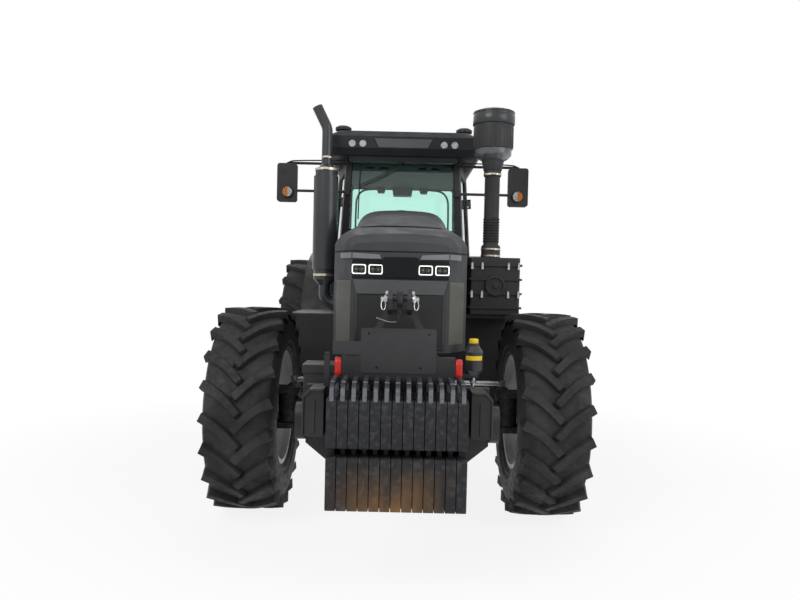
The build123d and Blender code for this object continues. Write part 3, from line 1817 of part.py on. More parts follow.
# Lower links, each with a pin in the gearbox's lug, an eye for the lift rod and a ball eye at its end
link_end_y = hitch_y + link_length
lift_rod_y = hitch_y + lift_arm_length
with BuildPart() as links:
    for side in (1, -1):
        inner, outer = side * (link_x - link_thickness / 2), side * (link_x + link_thickness / 2)
        plate(
            (
                (hitch_y, link_z - link_height / 3), (lift_rod_y, link_z - link_height / 2),
                (link_end_y, link_z - link_height / 3), (link_end_y, link_z + link_height / 3),
                (lift_rod_y, link_z + link_height / 2), (hitch_y, link_z + link_height / 3),
            ),
            inner,
            outer,
        )
        for y in (hitch_y, link_end_y):
            rod((inner, y, link_z), (outer, y, link_z), link_eye_radius)
        rod((side * (lug_x - rail_width / 2), hitch_y, link_z), (outer, hitch_y, link_z), link_pin_radius)
        rod(
            (inner - side, link_end_y, link_z), (outer + side, link_end_y, link_z), ball_radius,
            Mode.SUBTRACT,
        )
        rod(
            (inner - side, lift_rod_y, link_z), (outer + side, lift_rod_y, link_z), lift_pin_radius + fit,
            Mode.SUBTRACT,
        )
write(links, "lower_links")

# Lift arms on their shaft through the gearbox's upper lugs
with BuildPart() as arms:
    rod(
        (-link_x - link_thickness / 2, hitch_y, shaft_z),
        (link_x + link_thickness / 2, hitch_y, shaft_z),
        shaft_radius,
    )
    for side in (1, -1):
        inner, outer = side * (link_x - link_thickness / 2), side * (link_x + link_thickness / 2)
        plate(
            (
                (hitch_y, shaft_z - arm_hub_radius), (lift_rod_y, shaft_z - link_height / 3),
                (lift_rod_y, shaft_z + link_height / 3), (hitch_y, shaft_z + arm_hub_radius),
            ),
            inner,
            outer,
        )
        rod((inner, hitch_y, shaft_z), (outer, hitch_y, shaft_z), arm_hub_radius)
        rod((inner, lift_rod_y, shaft_z), (outer, lift_rod_y, shaft_z), link_height / 2)
        rod(
            (inner - side, lift_rod_y, shaft_z), (outer + side, lift_rod_y, shaft_z),
            lift_pin_radius + fit, Mode.SUBTRACT,
        )
write(arms, "lift_arms")

# Lift rods between the arms and the lower links, outboard of both
rod_x = link_x + link_thickness / 2 + side_play + lift_tube_radius
with BuildPart() as rods:
    for side in (1, -1):
        x = side * rod_x
        rod((x, lift_rod_y, link_z), (x, lift_rod_y, shaft_z), lift_tube_radius)
        rod(
            (x, lift_rod_y, (link_z + shaft_z) / 2 - link_height),
            (x, lift_rod_y, shaft_z - link_height),
            lift_body_radius,
        )
        for z in (link_z, shaft_z):
            rod(
                (x - side * lift_eye_half, lift_rod_y, z),
                (x + side * lift_eye_half, lift_rod_y, z),
                link_height / 2,
            )
            rod((side * (link_x - link_thickness / 2), lift_rod_y, z), (x, lift_rod_y, z), lift_pin_radius)
write(rods, "lift_rods")

# Top link, stowed upright on its bracket behind the gearbox
top_link_y = rear_y + top_link_back
bracket_z = shaft_z - shaft_radius - side_play - 2 * link_height
with BuildPart() as top_link:
    plate(
        (
            (gearbox_rear_y + seat, bracket_z - link_height / 2),
            (top_link_y, bracket_z - link_height / 4),
            (top_link_y, bracket_z + link_height / 2),
            (gearbox_rear_y + seat, bracket_z + link_height),
        ),
        -link_thickness / 2,
        link_thickness / 2,
    )
    rod((0, top_link_y, bracket_z), (0, top_link_y, bracket_z + top_link_length), lift_tube_radius)
    rod(
        (0, top_link_y, bracket_z + top_link_length / 4),
        (0, top_link_y, bracket_z + 3 * top_link_length / 4),
        top_link_body,
    )
    for z in (bracket_z, bracket_z + top_link_length):
        rod((-link_thickness / 2, top_link_y, z), (link_thickness / 2, top_link_y, z), link_height / 2)
write(top_link, "rear_top_link")
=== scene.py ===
import math
import json
import bmesh
import bpy
from mathutils import Matrix, Vector


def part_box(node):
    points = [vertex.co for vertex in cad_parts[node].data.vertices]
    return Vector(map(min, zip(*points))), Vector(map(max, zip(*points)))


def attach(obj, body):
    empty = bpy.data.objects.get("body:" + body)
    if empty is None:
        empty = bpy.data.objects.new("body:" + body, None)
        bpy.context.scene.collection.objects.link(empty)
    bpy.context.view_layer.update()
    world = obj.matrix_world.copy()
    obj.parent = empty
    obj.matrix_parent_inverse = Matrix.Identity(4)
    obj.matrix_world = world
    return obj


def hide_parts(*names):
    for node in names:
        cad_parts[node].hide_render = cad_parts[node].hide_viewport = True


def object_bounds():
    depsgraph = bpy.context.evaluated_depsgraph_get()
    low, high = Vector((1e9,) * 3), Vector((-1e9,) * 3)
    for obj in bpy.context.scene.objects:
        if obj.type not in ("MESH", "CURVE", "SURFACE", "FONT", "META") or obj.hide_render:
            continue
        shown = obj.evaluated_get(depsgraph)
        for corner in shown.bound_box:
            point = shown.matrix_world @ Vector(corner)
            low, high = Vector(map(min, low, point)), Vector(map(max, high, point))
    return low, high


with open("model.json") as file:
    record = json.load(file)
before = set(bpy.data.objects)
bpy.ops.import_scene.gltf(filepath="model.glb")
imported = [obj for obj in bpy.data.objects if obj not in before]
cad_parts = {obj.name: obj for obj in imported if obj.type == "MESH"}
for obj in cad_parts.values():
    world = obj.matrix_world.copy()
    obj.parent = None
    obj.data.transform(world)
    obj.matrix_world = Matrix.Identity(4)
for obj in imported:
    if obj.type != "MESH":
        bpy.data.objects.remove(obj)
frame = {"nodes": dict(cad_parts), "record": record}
cad_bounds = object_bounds()
scene = bpy.context.scene
nodes = frame["nodes"]

# Camera: on the tractor's centreline, as in the photograph, whose frame is 800 by 600
CAMERA_AHEAD = 5.0
CAMERA_HEIGHT = 1.6
FOCAL_PIXELS = 702
FRAME_WIDTH = 800
SENSOR_WIDTH = 36.0
PITCH = math.radians(-1.29)
ROLL = math.radians(1.3)
FRONT_WHEEL = (Vector(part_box("front_tyre_left")[0]) + Vector(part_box("front_tyre_left")[1])) / 2
REAR_WHEEL = (Vector(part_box("rear_tyre_left")[0]) + Vector(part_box("rear_tyre_left")[1])) / 2


def make_camera():
    """The photograph's camera."""
    data = bpy.data.cameras.new("camera")
    data.sensor_width = SENSOR_WIDTH
    data.lens = FOCAL_PIXELS / FRAME_WIDTH * SENSOR_WIDTH
    camera = bpy.data.objects.new("camera", data)
    scene.collection.objects.link(camera)
    turn = Matrix.Rotation(math.pi / 2 + PITCH, 4, "X") @ Matrix.Rotation(ROLL, 4, "Z")
    camera.matrix_world = Matrix.Translation((0, FRONT_WHEEL.y - CAMERA_AHEAD, CAMERA_HEIGHT)) @ turn
    scene.camera = camera


def area_light(name, place, target, size, power):
    """A square soft lamp that looks at a target."""
    data = bpy.data.lights.new(name, "AREA")
    data.shape = "SQUARE"
    data.size = size
    data.energy = power
    lamp = bpy.data.objects.new(name, data)
    scene.collection.objects.link(lamp)
    lamp.location = place
    lamp.rotation_euler = (Vector(target) - Vector(place)).to_track_quat("-Z", "Y").to_euler()


def link(tree, source, target):
    """Joins two sockets of a node tree."""
    tree.links.new(source, target)


def make_world():
    """White where the camera, a reflection or glass looks at it, and a plain level of light elsewhere."""
    world = bpy.data.worlds.new("studio")
    scene.world = world
    world.use_nodes = True
    tree = world.node_tree
    tree.nodes.clear()
    output = tree.nodes.new("ShaderNodeOutputWorld")
    seen = tree.nodes.new("ShaderNodeBackground")
    seen.inputs["Color"].default_value = (1, 1, 1, 1)
    seen.inputs["Strength"].default_value = 1.0
    light = tree.nodes.new("ShaderNodeBackground")
    light.inputs["Color"].default_value = (0.97, 0.985, 1, 1)
    light.inputs["Strength"].default_value = 0.42
    path = tree.nodes.new("ShaderNodeLightPath")
    either = tree.nodes.new("ShaderNodeMath")
    either.operation = "MAXIMUM"
    link(tree, path.outputs["Is Camera Ray"], either.inputs[0])
    link(tree, path.outputs["Is Transmission Ray"], either.inputs[1])
    any_of = tree.nodes.new("ShaderNodeMath")
    any_of.operation = "MAXIMUM"
    link(tree, either.outputs[0], any_of.inputs[0])
    link(tree, path.outputs["Is Glossy Ray"], any_of.inputs[1])
    mix = tree.nodes.new("ShaderNodeMixShader")
    link(tree, any_of.outputs[0], mix.inputs[0])
    link(tree, light.outputs[0], mix.inputs[1])
    link(tree, seen.outputs[0], mix.inputs[2])
    link(tree, mix.outputs[0], output.inputs["Surface"])


def make_floor():
    """A pale floor that runs to the horizon."""
    half = 60.0
    mesh = bpy.data.meshes.new("floor")
    mesh.from_pydata([(-half, -half, 0), (half, -half, 0), (half, half, 0), (-half, half, 0)], [], [(0, 1, 2, 3)])
    floor = bpy.data.objects.new("floor", mesh)
    scene.collection.objects.link(floor)
    floor.location.z = cad_bounds[0][2] - 0.002
    material = bpy.data.materials.new("floor_white")
    material.use_nodes = True
    tree = material.node_tree
    shader = tree.nodes["Principled BSDF"]
    shader.inputs["Base Color"].default_value = (0.93, 0.93, 0.93, 1)
    shader.inputs["Roughness"].default_value = 0.9
    shader.inputs["Specular IOR Level"].default_value = 0.1
    white = tree.nodes.new("ShaderNodeEmission")
    white.inputs["Strength"].default_value = 1.0
    place = tree.nodes.new("ShaderNodeTexCoord")
    away = tree.nodes.new("ShaderNodeVectorMath")
    away.operation = "LENGTH"
    link(tree, place.outputs["Object"], away.inputs[0])
    fade = tree.nodes.new("ShaderNodeMapRange")
    fade.interpolation_type = "SMOOTHSTEP"
    fade.inputs["From Min"].default_value = 2.2
    fade.inputs["From Max"].default_value = 4.6
    fade.inputs["To Min"].default_value = 0.86
    link(tree, away.outputs["Value"], fade.inputs["Value"])
    path = tree.nodes.new("ShaderNodeLightPath")
    seen = tree.nodes.new("ShaderNodeMath")
    seen.operation = "MAXIMUM"
    link(tree, path.outputs["Is Camera Ray"], seen.inputs[0])
    link(tree, path.outputs["Is Transmission Ray"], seen.inputs[1])
    any_of = tree.nodes.new("ShaderNodeMath")
    any_of.operation = "MAXIMUM"
    link(tree, seen.outputs[0], any_of.inputs[0])
    link(tree, path.outputs["Is Glossy Ray"], any_of.inputs[1])
    share = tree.nodes.new("ShaderNodeMath")
    share.operation = "MULTIPLY"
    link(tree, fade.outputs["Result"], share.inputs[0])
    link(tree, any_of.outputs[0], share.inputs[1])
    mix = tree.nodes.new("ShaderNodeMixShader")
    link(tree, share.outputs[0], mix.inputs[0])
    link(tree, shader.outputs[0], mix.inputs[1])
    link(tree, white.outputs[0], mix.inputs[2])
    link(tree, mix.outputs[0], tree.nodes["Material Output"].inputs["Surface"])
    mesh.materials.append(material)


make_camera()
make_world()
make_floor()
scene.view_settings.view_transform = "Standard"
area_light("key", (-5.0, -8.0, 7.5), (0, -0.8, 1.2), 5.0, 430)
area_light("fill", (6.5, -6.0, 5.0), (0, -0.5, 1.2), 5.0, 260)
area_light("back", (0.0, 9.0, 7.0), (0, 0.5, 1.6), 6.0, 230)


# Materials: each is a function of noise in the part's own coordinates
def shader_of(name, colour, roughness, metallic=0.0, coat=0.0):
    """A new material with its principled shader, and its node tree."""
    material = bpy.data.materials.new(name)
    material.use_nodes = True
    tree = material.node_tree
    shader = tree.nodes["Principled BSDF"]
    shader.inputs["Base Color"].default_value = (*colour, 1)
    shader.inputs["Roughness"].default_value = roughness
    shader.inputs["Metallic"].default_value = metallic
    shader.inputs["Coat Weight"].default_value = coat
    shader.inputs["Coat Roughness"].default_value = 0.08
    return material, tree, shader


def noise(tree, scale, detail=3.0, stretch=None):
    """Noise in object coordinates, at a scale in waves a metre."""
    place = tree.nodes.new("ShaderNodeTexCoord")
    texture = tree.nodes.new("ShaderNodeTexNoise")
    texture.inputs["Scale"].default_value = scale
    texture.inputs["Detail"].default_value = detail
    if stretch:
        mapping = tree.nodes.new("ShaderNodeMapping")
        mapping.inputs["Scale"].default_value = stretch
        link(tree, place.outputs["Object"], mapping.inputs["Vector"])
        link(tree, mapping.outputs["Vector"], texture.inputs["Vector"])
    else:
        link(tree, place.outputs["Object"], texture.inputs["Vector"])
    return texture.outputs["Fac"]


def spread(tree, value, low, high, to_low=0.0, to_high=1.0):
    """A value mapped from one range to another, held at its ends."""
    node = tree.nodes.new("ShaderNodeMapRange")
    node.inputs["From Min"].default_value = low
    node.inputs["From Max"].default_value = high
    node.inputs["To Min"].default_value = to_low
    node.inputs["To Max"].default_value = to_high
    link(tree, value, node.inputs["Value"])
    return node.outputs["Result"]


def times(tree, a, b):
    """The product of two values."""
    node = tree.nodes.new("ShaderNodeMath")
    node.operation = "MULTIPLY"
    link(tree, a, node.inputs[0])
    if isinstance(b, (int, float)):
        node.inputs[1].default_value = b
    else:
        link(tree, b, node.inputs[1])
    return node.outputs[0]


def blend_colours(tree, factor, first, second):
    """A mix of two colours, where each is a colour or a socket."""
    node = tree.nodes.new("ShaderNodeMix")
    node.data_type = "RGBA"
    link(tree, factor, node.inputs["Factor"])
    for socket, colour in ((node.inputs["A"], first), (node.inputs["B"], second)):
        if isinstance(colour, tuple):
            socket.default_value = (*colour, 1)
        else:
            link(tree, colour, socket)
    return node.outputs["Result"]


def bump(tree, shader, height, distance, strength=0.4):
    """A bump from a height, in metres."""
    node = tree.nodes.new("ShaderNodeBump")
    node.inputs["Strength"].default_value = strength
    node.inputs["Distance"].default_value = distance
    link(tree, height, node.inputs["Height"])
    link(tree, node.outputs["Normal"], shader.inputs["Normal"])


def position(tree):
    """Height above the ground, and how far a surface faces up."""
    geometry = tree.nodes.new("ShaderNodeNewGeometry")
    place = tree.nodes.new("ShaderNodeSeparateXYZ")
    link(tree, geometry.outputs["Position"], place.inputs[0])
    facing = tree.nodes.new("ShaderNodeSeparateXYZ")
    link(tree, geometry.outputs["Normal"], facing.inputs[0])
    return place.outputs, facing.outputs["Z"]


DUST = (0.33, 0.29, 0.24)


def paint(name, colour, roughness, metallic=0.0, coat=0.0, dust=0.12, grain=180.0, grain_height=0.0004):
    """Paint with a faint texture, uneven gloss and a little dust on what faces up."""
    material, tree, shader = shader_of(name, colour, roughness, metallic, coat)
    shader.inputs["Specular IOR Level"].default_value = 0.28
    patches = noise(tree, 2.3, 5.0)
    lighter = tuple(min(1.0, c * 1.25 + 0.006) for c in colour)
    varied = blend_colours(tree, spread(tree, patches, 0.35, 0.7), colour, lighter)
    place, up = position(tree)
    settled = times(tree, spread(tree, up, 0.2, 1.0, 0.0, dust), spread(tree, noise(tree, 14.0, 6.0), 0.35, 0.75))
    link(tree, blend_colours(tree, settled, varied, DUST), shader.inputs["Base Color"])
    link(tree, spread(tree, noise(tree, 9.0, 6.0), 0.3, 0.75, roughness * 0.8, min(1.0, roughness * 1.35)), shader.inputs["Roughness"])
    bump(tree, shader, noise(tree, grain, 4.0), grain_height, 0.25)
    return material


def cast_metal(name, colour, dirt=(0.30, 0.15, 0.045), dirt_below=0.0, front_wear_and_highlight=0.0):
    """Painted cast iron with a pitted skin, worn lighter in patches, earth rising from below, and, where asked for, a
    lighter front-facing side that is part wear and part painted highlight.
    """
    material, tree, shader = shader_of(name, colour, 0.55)
    shader.inputs["Specular IOR Level"].default_value = 0.25
    worn = tuple(c * 2.6 + 0.02 for c in colour)
    scuffs = spread(tree, noise(tree, 38.0, 8.0), 0.5, 0.68)
    varied = blend_colours(tree, times(tree, scuffs, 0.55), colour, worn)
    place, up = position(tree)
    if dirt_below:
        rising = spread(tree, place["Z"], dirt_below, dirt_below - 0.30)
        beside = spread(tree, place["X"], -0.34, 0.05, 0.25, 1.0)
        splashes = spread(tree, noise(tree, 7.0, 8.0, (1, 1, 0.25)), 0.36, 0.62)
        varied = blend_colours(tree, times(tree, times(tree, times(tree, rising, splashes), beside), 0.85), varied, dirt)
    # The side facing the front is lightened: part wear, part a painted highlight where the light falls.
    if front_wear_and_highlight:
        geometry = tree.nodes.new("ShaderNodeNewGeometry")
        facing = tree.nodes.new("ShaderNodeSeparateXYZ")
        link(tree, geometry.outputs["Normal"], facing.inputs[0])
        wear_and_highlight_mask = times(tree, spread(tree, facing.outputs["Y"], -0.35, -0.95), spread(tree, noise(tree, 45.0, 8.0), 0.3, 0.55, 0.55, 1.0))
        varied = blend_colours(tree, wear_and_highlight_mask, varied, (front_wear_and_highlight, front_wear_and_highlight * 1.02, front_wear_and_highlight * 1.1))
    link(tree, varied, shader.inputs["Base Color"])
    link(tree, spread(tree, noise(tree, 21.0, 6.0), 0.3, 0.7, 0.42, 0.75), shader.inputs["Roughness"])
    bump(tree, shader, noise(tree, 260.0, 6.0), 0.0012, 0.5)
    return material


def rubber(name, radius_hint):
    """Dark rubber with moulding grain and pale earth in patches, more of it low down."""
    material, tree, shader = shader_of(name, (0.02, 0.02, 0.021), 0.62)
    shader.inputs["Specular IOR Level"].default_value = 0.25
    place, up = position(tree)
    patches = spread(tree, noise(tree, 5.0, 9.0), 0.42, 0.72)
    low = spread(tree, place["Z"], radius_hint * 2, 0.0, 0.12, 0.5)
    link(tree, blend_colours(tree, times(tree, patches, low), (0.018, 0.018, 0.019), (0.105, 0.098, 0.09)), shader.inputs["Base Color"])
    link(tree, spread(tree, noise(tree, 30.0, 6.0), 0.3, 0.7, 0.48, 0.8), shader.inputs["Roughness"])
    bump(tree, shader, noise(tree, 420.0, 5.0), 0.0006, 0.45)
    return material


def brushed(name, colour, roughness):
    """Bare metal with fine drawn lines."""
    material, tree, shader = shader_of(name, colour, roughness, 1.0)
    lines = noise(tree, 60.0, 5.0, (1, 1, 12))
    link(tree, spread(tree, lines, 0.3, 0.7, roughness * 0.7, roughness * 1.5), shader.inputs["Roughness"])
    bump(tree, shader, lines, 0.0002, 0.3)
    return material


def clear(name, colour, roughness=0.02, transmission=1.0, smear=0.05):
    """Tinted glass or plastic with faint smears in its gloss."""
    material, tree, shader = shader_of(name, colour, roughness)
    shader.inputs["Transmission Weight"].default_value = transmission
    shader.inputs["Specular IOR Level"].default_value = 0.2
    shader.inputs["IOR"].default_value = 1.45
    link(tree, spread(tree, noise(tree, 6.0, 6.0), 0.4, 0.75, roughness, roughness + smear), shader.inputs["Roughness"])
    return material


def glowing(name, colour, strength):
    """A lamp's white light guide, lit from its own colour."""
    material, tree, shader = shader_of(name, colour, 0.25)
    shader.inputs["Emission Color"].default_value = (*colour, 1)
    shader.inputs["Emission Strength"].default_value = strength
    link(tree, spread(tree, noise(tree, 300.0), 0.3, 0.7, 0.2, 0.3), shader.inputs["Roughness"])
    return material


def woven(name, colour, pitch):
    """Cloth with a plain weave, in bump and colour."""
    material, tree, shader = shader_of(name, colour, 0.9)
    shader.inputs["Sheen Weight"].default_value = 0.35
    shader.inputs["Sheen Roughness"].default_value = 0.5
    place = tree.nodes.new("ShaderNodeTexCoord")
    waves = []
    for direction in ("X", "Z"):
        wave = tree.nodes.new("ShaderNodeTexWave")
        wave.bands_direction = direction
        wave.inputs["Scale"].default_value = 1.0 / pitch
        wave.inputs["Distortion"].default_value = 0.4
        link(tree, place.outputs["Object"], wave.inputs["Vector"])
        waves.append(wave.outputs["Fac"])
    weave = times(tree, waves[0], waves[1])
    link(tree, blend_colours(tree, weave, tuple(c * 0.7 for c in colour), tuple(c * 1.4 for c in colour)), shader.inputs["Base Color"])
    bump(tree, shader, weave, 0.0008, 0.6)
    return material


LOOK = {
    "body_paint": paint("charcoal_satin", (0.022, 0.024, 0.027), 0.36, coat=0.25, dust=0.08),
    "frame_paint": paint("black_satin", (0.022, 0.022, 0.024), 0.42, dust=0.2),
    "rim_paint": paint("silver_paint", (0.68, 0.69, 0.70), 0.45, dust=0.2),
    "hook_paint": paint("red_paint", (0.55, 0.018, 0.012), 0.36, coat=0.3, dust=0.1),
    "cast": cast_metal("dark_casting", (0.016, 0.0165, 0.019)),
    "tyre": rubber("rubber", 0.71),
    "black_plastic": paint("moulded_black", (0.02, 0.02, 0.021), 0.5, dust=0.22, grain=520.0, grain_height=0.0008),
    "clear_dome": paint("gloss_black_plastic", (0.018, 0.018, 0.02), 0.12, coat=0.8, dust=0.12),
    "steel": brushed("bare_steel", (0.42, 0.42, 0.43), 0.32),
    "glass": clear("tinted_glass", (0.70, 0.935, 0.87), 0.0, 1.0, 0.004),
    "lamp": clear("lamp_lens", (0.95, 0.97, 1.0), 0.03),
    "seat_fabric": woven("seat_cloth", (0.045, 0.046, 0.05), 0.004),
    "mesh": paint("mesh_paint", (0.03, 0.032, 0.03), 0.5, dust=0.05),
    "plate": paint("plate_paint", (0.034, 0.034, 0.036), 0.6, dust=0.04),
}
SLOT_OF = {part["node"]: part["material_slot"] for part in frame["record"]["subparts"]}


def dress_nodes():
    """Gives every CAD node its own look or its slot's material, and welds and bevels the edges of those in CAD_BEVELS.
    """
    for name, obj in nodes.items():
        obj.data.materials.clear()
        obj.data.materials.append(NODE_LOOK.get(name, LOOK[SLOT_OF[name]]))
        if name in CAD_BEVELS:
            weld = obj.modifiers.new("weld", "WELD")
            weld.merge_threshold = 0.00001
            edge = obj.modifiers.new("edges", "BEVEL")
            edge.width = CAD_BEVELS[name]
            edge.segments = 2
            edge.limit_method = "ANGLE"
            edge.angle_limit = math.radians(40)




class Maker:
    """Collects shapes into one mesh, in metres in the row frame."""

    def __init__(self):
        self.mesh = bmesh.new()

    def skin(self, rings, around=True):
        """Joins rings of points with faces."""
        for first, second in zip(rings, rings[1:]):
            count = len(first)
            for i in range(count if around else count - 1):
                j = (i + 1) % count
                corners = [first[i], first[j], second[j], second[i]]
                unique = list(dict.fromkeys(corners))
                if len(unique) > 2:
                    self.mesh.faces.new(unique)

    def ring(self, points):
        """New vertices at these points."""
        return [self.mesh.verts.new(point) for point in points]

    def loft(self, sections):
        """A closed solid over sections of equal counts of points."""
        rings = [self.ring(section) for section in sections]
        self.mesh.faces.new(rings[0])
        self.mesh.faces.new(list(reversed(rings[-1])))
        self.skin(rings)

    def prism(self, outline, axis, low, high):
        """A closed outline pushed along an axis: (y, z) for X, (x, z) for Y, (x, y) for Z."""
        order = {"X": lambda a, b, t: (t, a, b), "Y": lambda a, b, t: (a, t, b), "Z": lambda a, b, t: (a, b, t)}[axis]
        self.loft([[order(a, b, t) for a, b in outline] for t in (low, high)])

    def box(self, low, high):
        """A box between two opposite corners."""
        (x0, y0, z0), (x1, y1, z1) = low, high
        self.prism(((x0, y0), (x1, y0), (x1, y1), (x0, y1)), "Z", z0, z1)

    def lathe(self, profile, centre, axis, segments=48):
        """A closed profile of (along, radius) points, turned about an axis through centre."""
        along, u = {"X": ((1, 0, 0), (0, 1, 0)), "Y": ((0, 1, 0), (0, 0, 1)), "Z": ((0, 0, 1), (1, 0, 0))}.get(axis, axis)
        along, u, centre = Vector(along).normalized(), Vector(u).normalized(), Vector(centre)
        w = along.cross(u)
        lines = []
        for t, radius in profile:
            if radius <= 0:
                point = self.mesh.verts.new(centre + along * t)
                lines.append([point] * segments)
            else:
                lines.append(self.ring([centre + along * t + (u * math.cos(2 * math.pi * k / segments)
                                                              + w * math.sin(2 * math.pi * k / segments)) * radius
                                        for k in range(segments)]))
        if profile[0][1] > 0 or profile[-1][1] > 0:
            lines.append(lines[0])
        self.skin(lines)

    def tube(self, points, radius, segments=12):
        """A round bar along a line of points, with flat ends."""
        outline = [(radius * math.cos(2 * math.pi * k / segments), radius * math.sin(2 * math.pi * k / segments))
                   for k in range(segments)]
        self.sweep(points, outline)

    def sweep(self, points, outline):
        """A closed outline carried along a line of points."""
        line = [Vector(point) for point in points]
        sections = []
        side = None
        for i, point in enumerate(line):
            ahead = (line[min(i + 1, len(line) - 1)] - line[max(i - 1, 0)]).normalized()
            if side is None:
                side = Vector((1, 0, 0)) if abs(ahead.x) < 0.9 else Vector((0, 1, 0))
            side = (side - ahead * side.dot(ahead)).normalized()
            up = ahead.cross(side)
            sections.append([point + side * a + up * b for a, b in outline])
        self.loft(sections)

    def piece(self, name, look, body, slot, bevel=0.0, replaces=(), sharp=35.0):
        """Makes the object, which rides on a body."""
        bmesh.ops.recalc_face_normals(self.mesh, faces=self.mesh.faces)
        data = bpy.data.meshes.new(name)
        self.mesh.to_mesh(data)
        self.mesh.free()
        data.polygons.foreach_set("use_smooth", [True] * len(data.polygons))
        data.set_sharp_from_angle(angle=math.radians(sharp))
        data.materials.append(LOOK[look] if isinstance(look, str) else look)
        obj = bpy.data.objects.new(name, data)
        scene.collection.objects.link(obj)
        if bevel:
            edge = obj.modifiers.new("edges", "BEVEL")
            edge.width = bevel
            edge.segments = 2
            edge.limit_method = "ANGLE"
            edge.angle_limit = math.radians(sharp)
            edge.harden_normals = True
        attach(obj, body)
        if replaces:
            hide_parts(*replaces)
        return obj


def smooth_line(points, steps=6):
    """Points on a smooth curve through the given points."""
    line = [Vector(p) for p in points]
    line = [line[0]] + line + [line[-1]]
    result = []
    for a, b, c, d in zip(line, line[1:], line[2:], line[3:]):
        for k in range(steps):
            t = k / steps
            result.append(0.5 * ((2 * b) + (c - a) * t + (2 * a - 5 * b + 4 * c - d) * t * t + (3 * b - a - 3 * c + d) * t**3))
    result.append(line[-2])
    return result


def rounded(width, height, corner, steps=4):
    """A rectangle about the origin with rounded corners, as (a, b) points."""
    points = []
    for sa, sb, start in ((1, 1, 0), (-1, 1, 90), (-1, -1, 180), (1, -1, 270)):
        for k in range(steps + 1):
            angle = math.radians(start + 90 * k / steps)
            points.append((sa * (width / 2 - corner) + corner * math.cos(angle), sb * (height / 2 - corner) + corner * math.sin(angle)))
    return points


def shifted(outline, a, b):
    """An outline moved by a and b."""
    return [(x + a, y + b) for x, y in outline]


# Tyres: a smooth carcass with ribs on its walls, and bent, bevelled lugs in two staggered rows
LUG_HEIGHT = 0.042
LUG_SWEEP = 0.19
FRONT_LUGS = 21
REAR_LUGS = 20
FRONT_BEAD = 0.381
REAR_BEAD = 0.483
RIM_LAND = 0.057


def tyre(name, node, body, bead, lugs):
    """One tyre in place of its CAD solid."""
    low, high = (Vector(corner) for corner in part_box(node))
    centre = (low + high) / 2
    half = (high.x - low.x) / 2
    radius = (high.z - low.z) / 2 - 0.001
    tread = radius - LUG_HEIGHT
    land = half - RIM_LAND
    wall = [(land - 0.004, bead + 0.002), (land + 0.018, bead + 0.012), (half - 0.028, bead + 0.034), (half - 0.018, bead + 0.05),
            (half - 0.019, bead + 0.056), (half - 0.011, bead + 0.085), (half - 0.008, bead + 0.088), (half - 0.006, bead + 0.094),
            (half - 0.006, bead + 0.1), (half - 0.002, bead + 0.135), (half - 0.001, bead + 0.165), (half - 0.004, bead + 0.2),
            (half - 0.013, tread - 0.055), (half - 0.03, tread - 0.022), (half - 0.058, tread - 0.004), (half * 0.45, tread + 0.003)]
    profile = wall + [(0, tread + 0.005)] + [(-x, r) for x, r in reversed(wall)]
    maker = Maker()
    maker.lathe(profile, centre, "X", 120)
    reach = half - 0.012
    for side in (1, -1):
        for i in range(lugs):
            turn = (i + (1 - side) / 4) * 2 * math.pi / lugs
            sections = []
            for k in range(-1, 12):
                t = max(0.0, k / 9) if k < 10 else 1.0
                bend = t + 0.12 * math.sin(math.pi * t)
                u = -0.012 + t * (reach + 0.012)
                v = LUG_SWEEP * (bend - 0.5)
                slope_u = reach + 0.012
                slope_v = LUG_SWEEP * (1 + 0.12 * math.pi * math.cos(math.pi * t))
                length = math.hypot(slope_u, slope_v)
                across = (-slope_v / length, slope_u / length)
                top = radius - 0.002 - 0.012 * (u / half) ** 2
                base = tread - 0.012
                half_top = 0.021 + 0.006 * t
                half_base = 0.033 + 0.006 * t
                if k == -1:
                    u, v, top = u - 0.012, v - 0.012, top - 0.026
                if k == 10:
                    u, top, half_top = half - 0.010, tread - 0.004, half_top + 0.002
                if k == 11:
                    u, top, base, half_top = half - 0.004, tread - 0.05, tread - 0.062, half_top - 0.006
                    half_base = half_top
                if k >= 9:
                    base = min(base, tread - 0.03 - 0.016 * (k - 9))
                section = []
                for offset, r in ((-half_base, base), (-half_top - 0.005, top - 0.009), (-half_top, top), (half_top, top),
                                  (half_top + 0.005, top - 0.009), (half_base, base)):
                    a = turn - (v + across[1] * offset) / radius
                    x = side * (u + across[0] * offset)
                    x = max(-half + 0.002, min(half - 0.002, x))
                    section.append((centre.x + x, centre.y - math.sin(a) * r, centre.z + math.cos(a) * r))
                sections.append(section)
            maker.loft(sections)
    maker.piece(name, "tyre", body, "tyre", replaces=(node,), sharp=30)


for end, bead, lugs in (("front", FRONT_BEAD, FRONT_LUGS), ("rear", REAR_BEAD, REAR_LUGS)):
    for hand in ("left", "right"):
        tyre(f"{end}_tread_{hand}", f"{end}_tyre_{hand}", f"wheel_{end}_{hand}", bead, lugs)


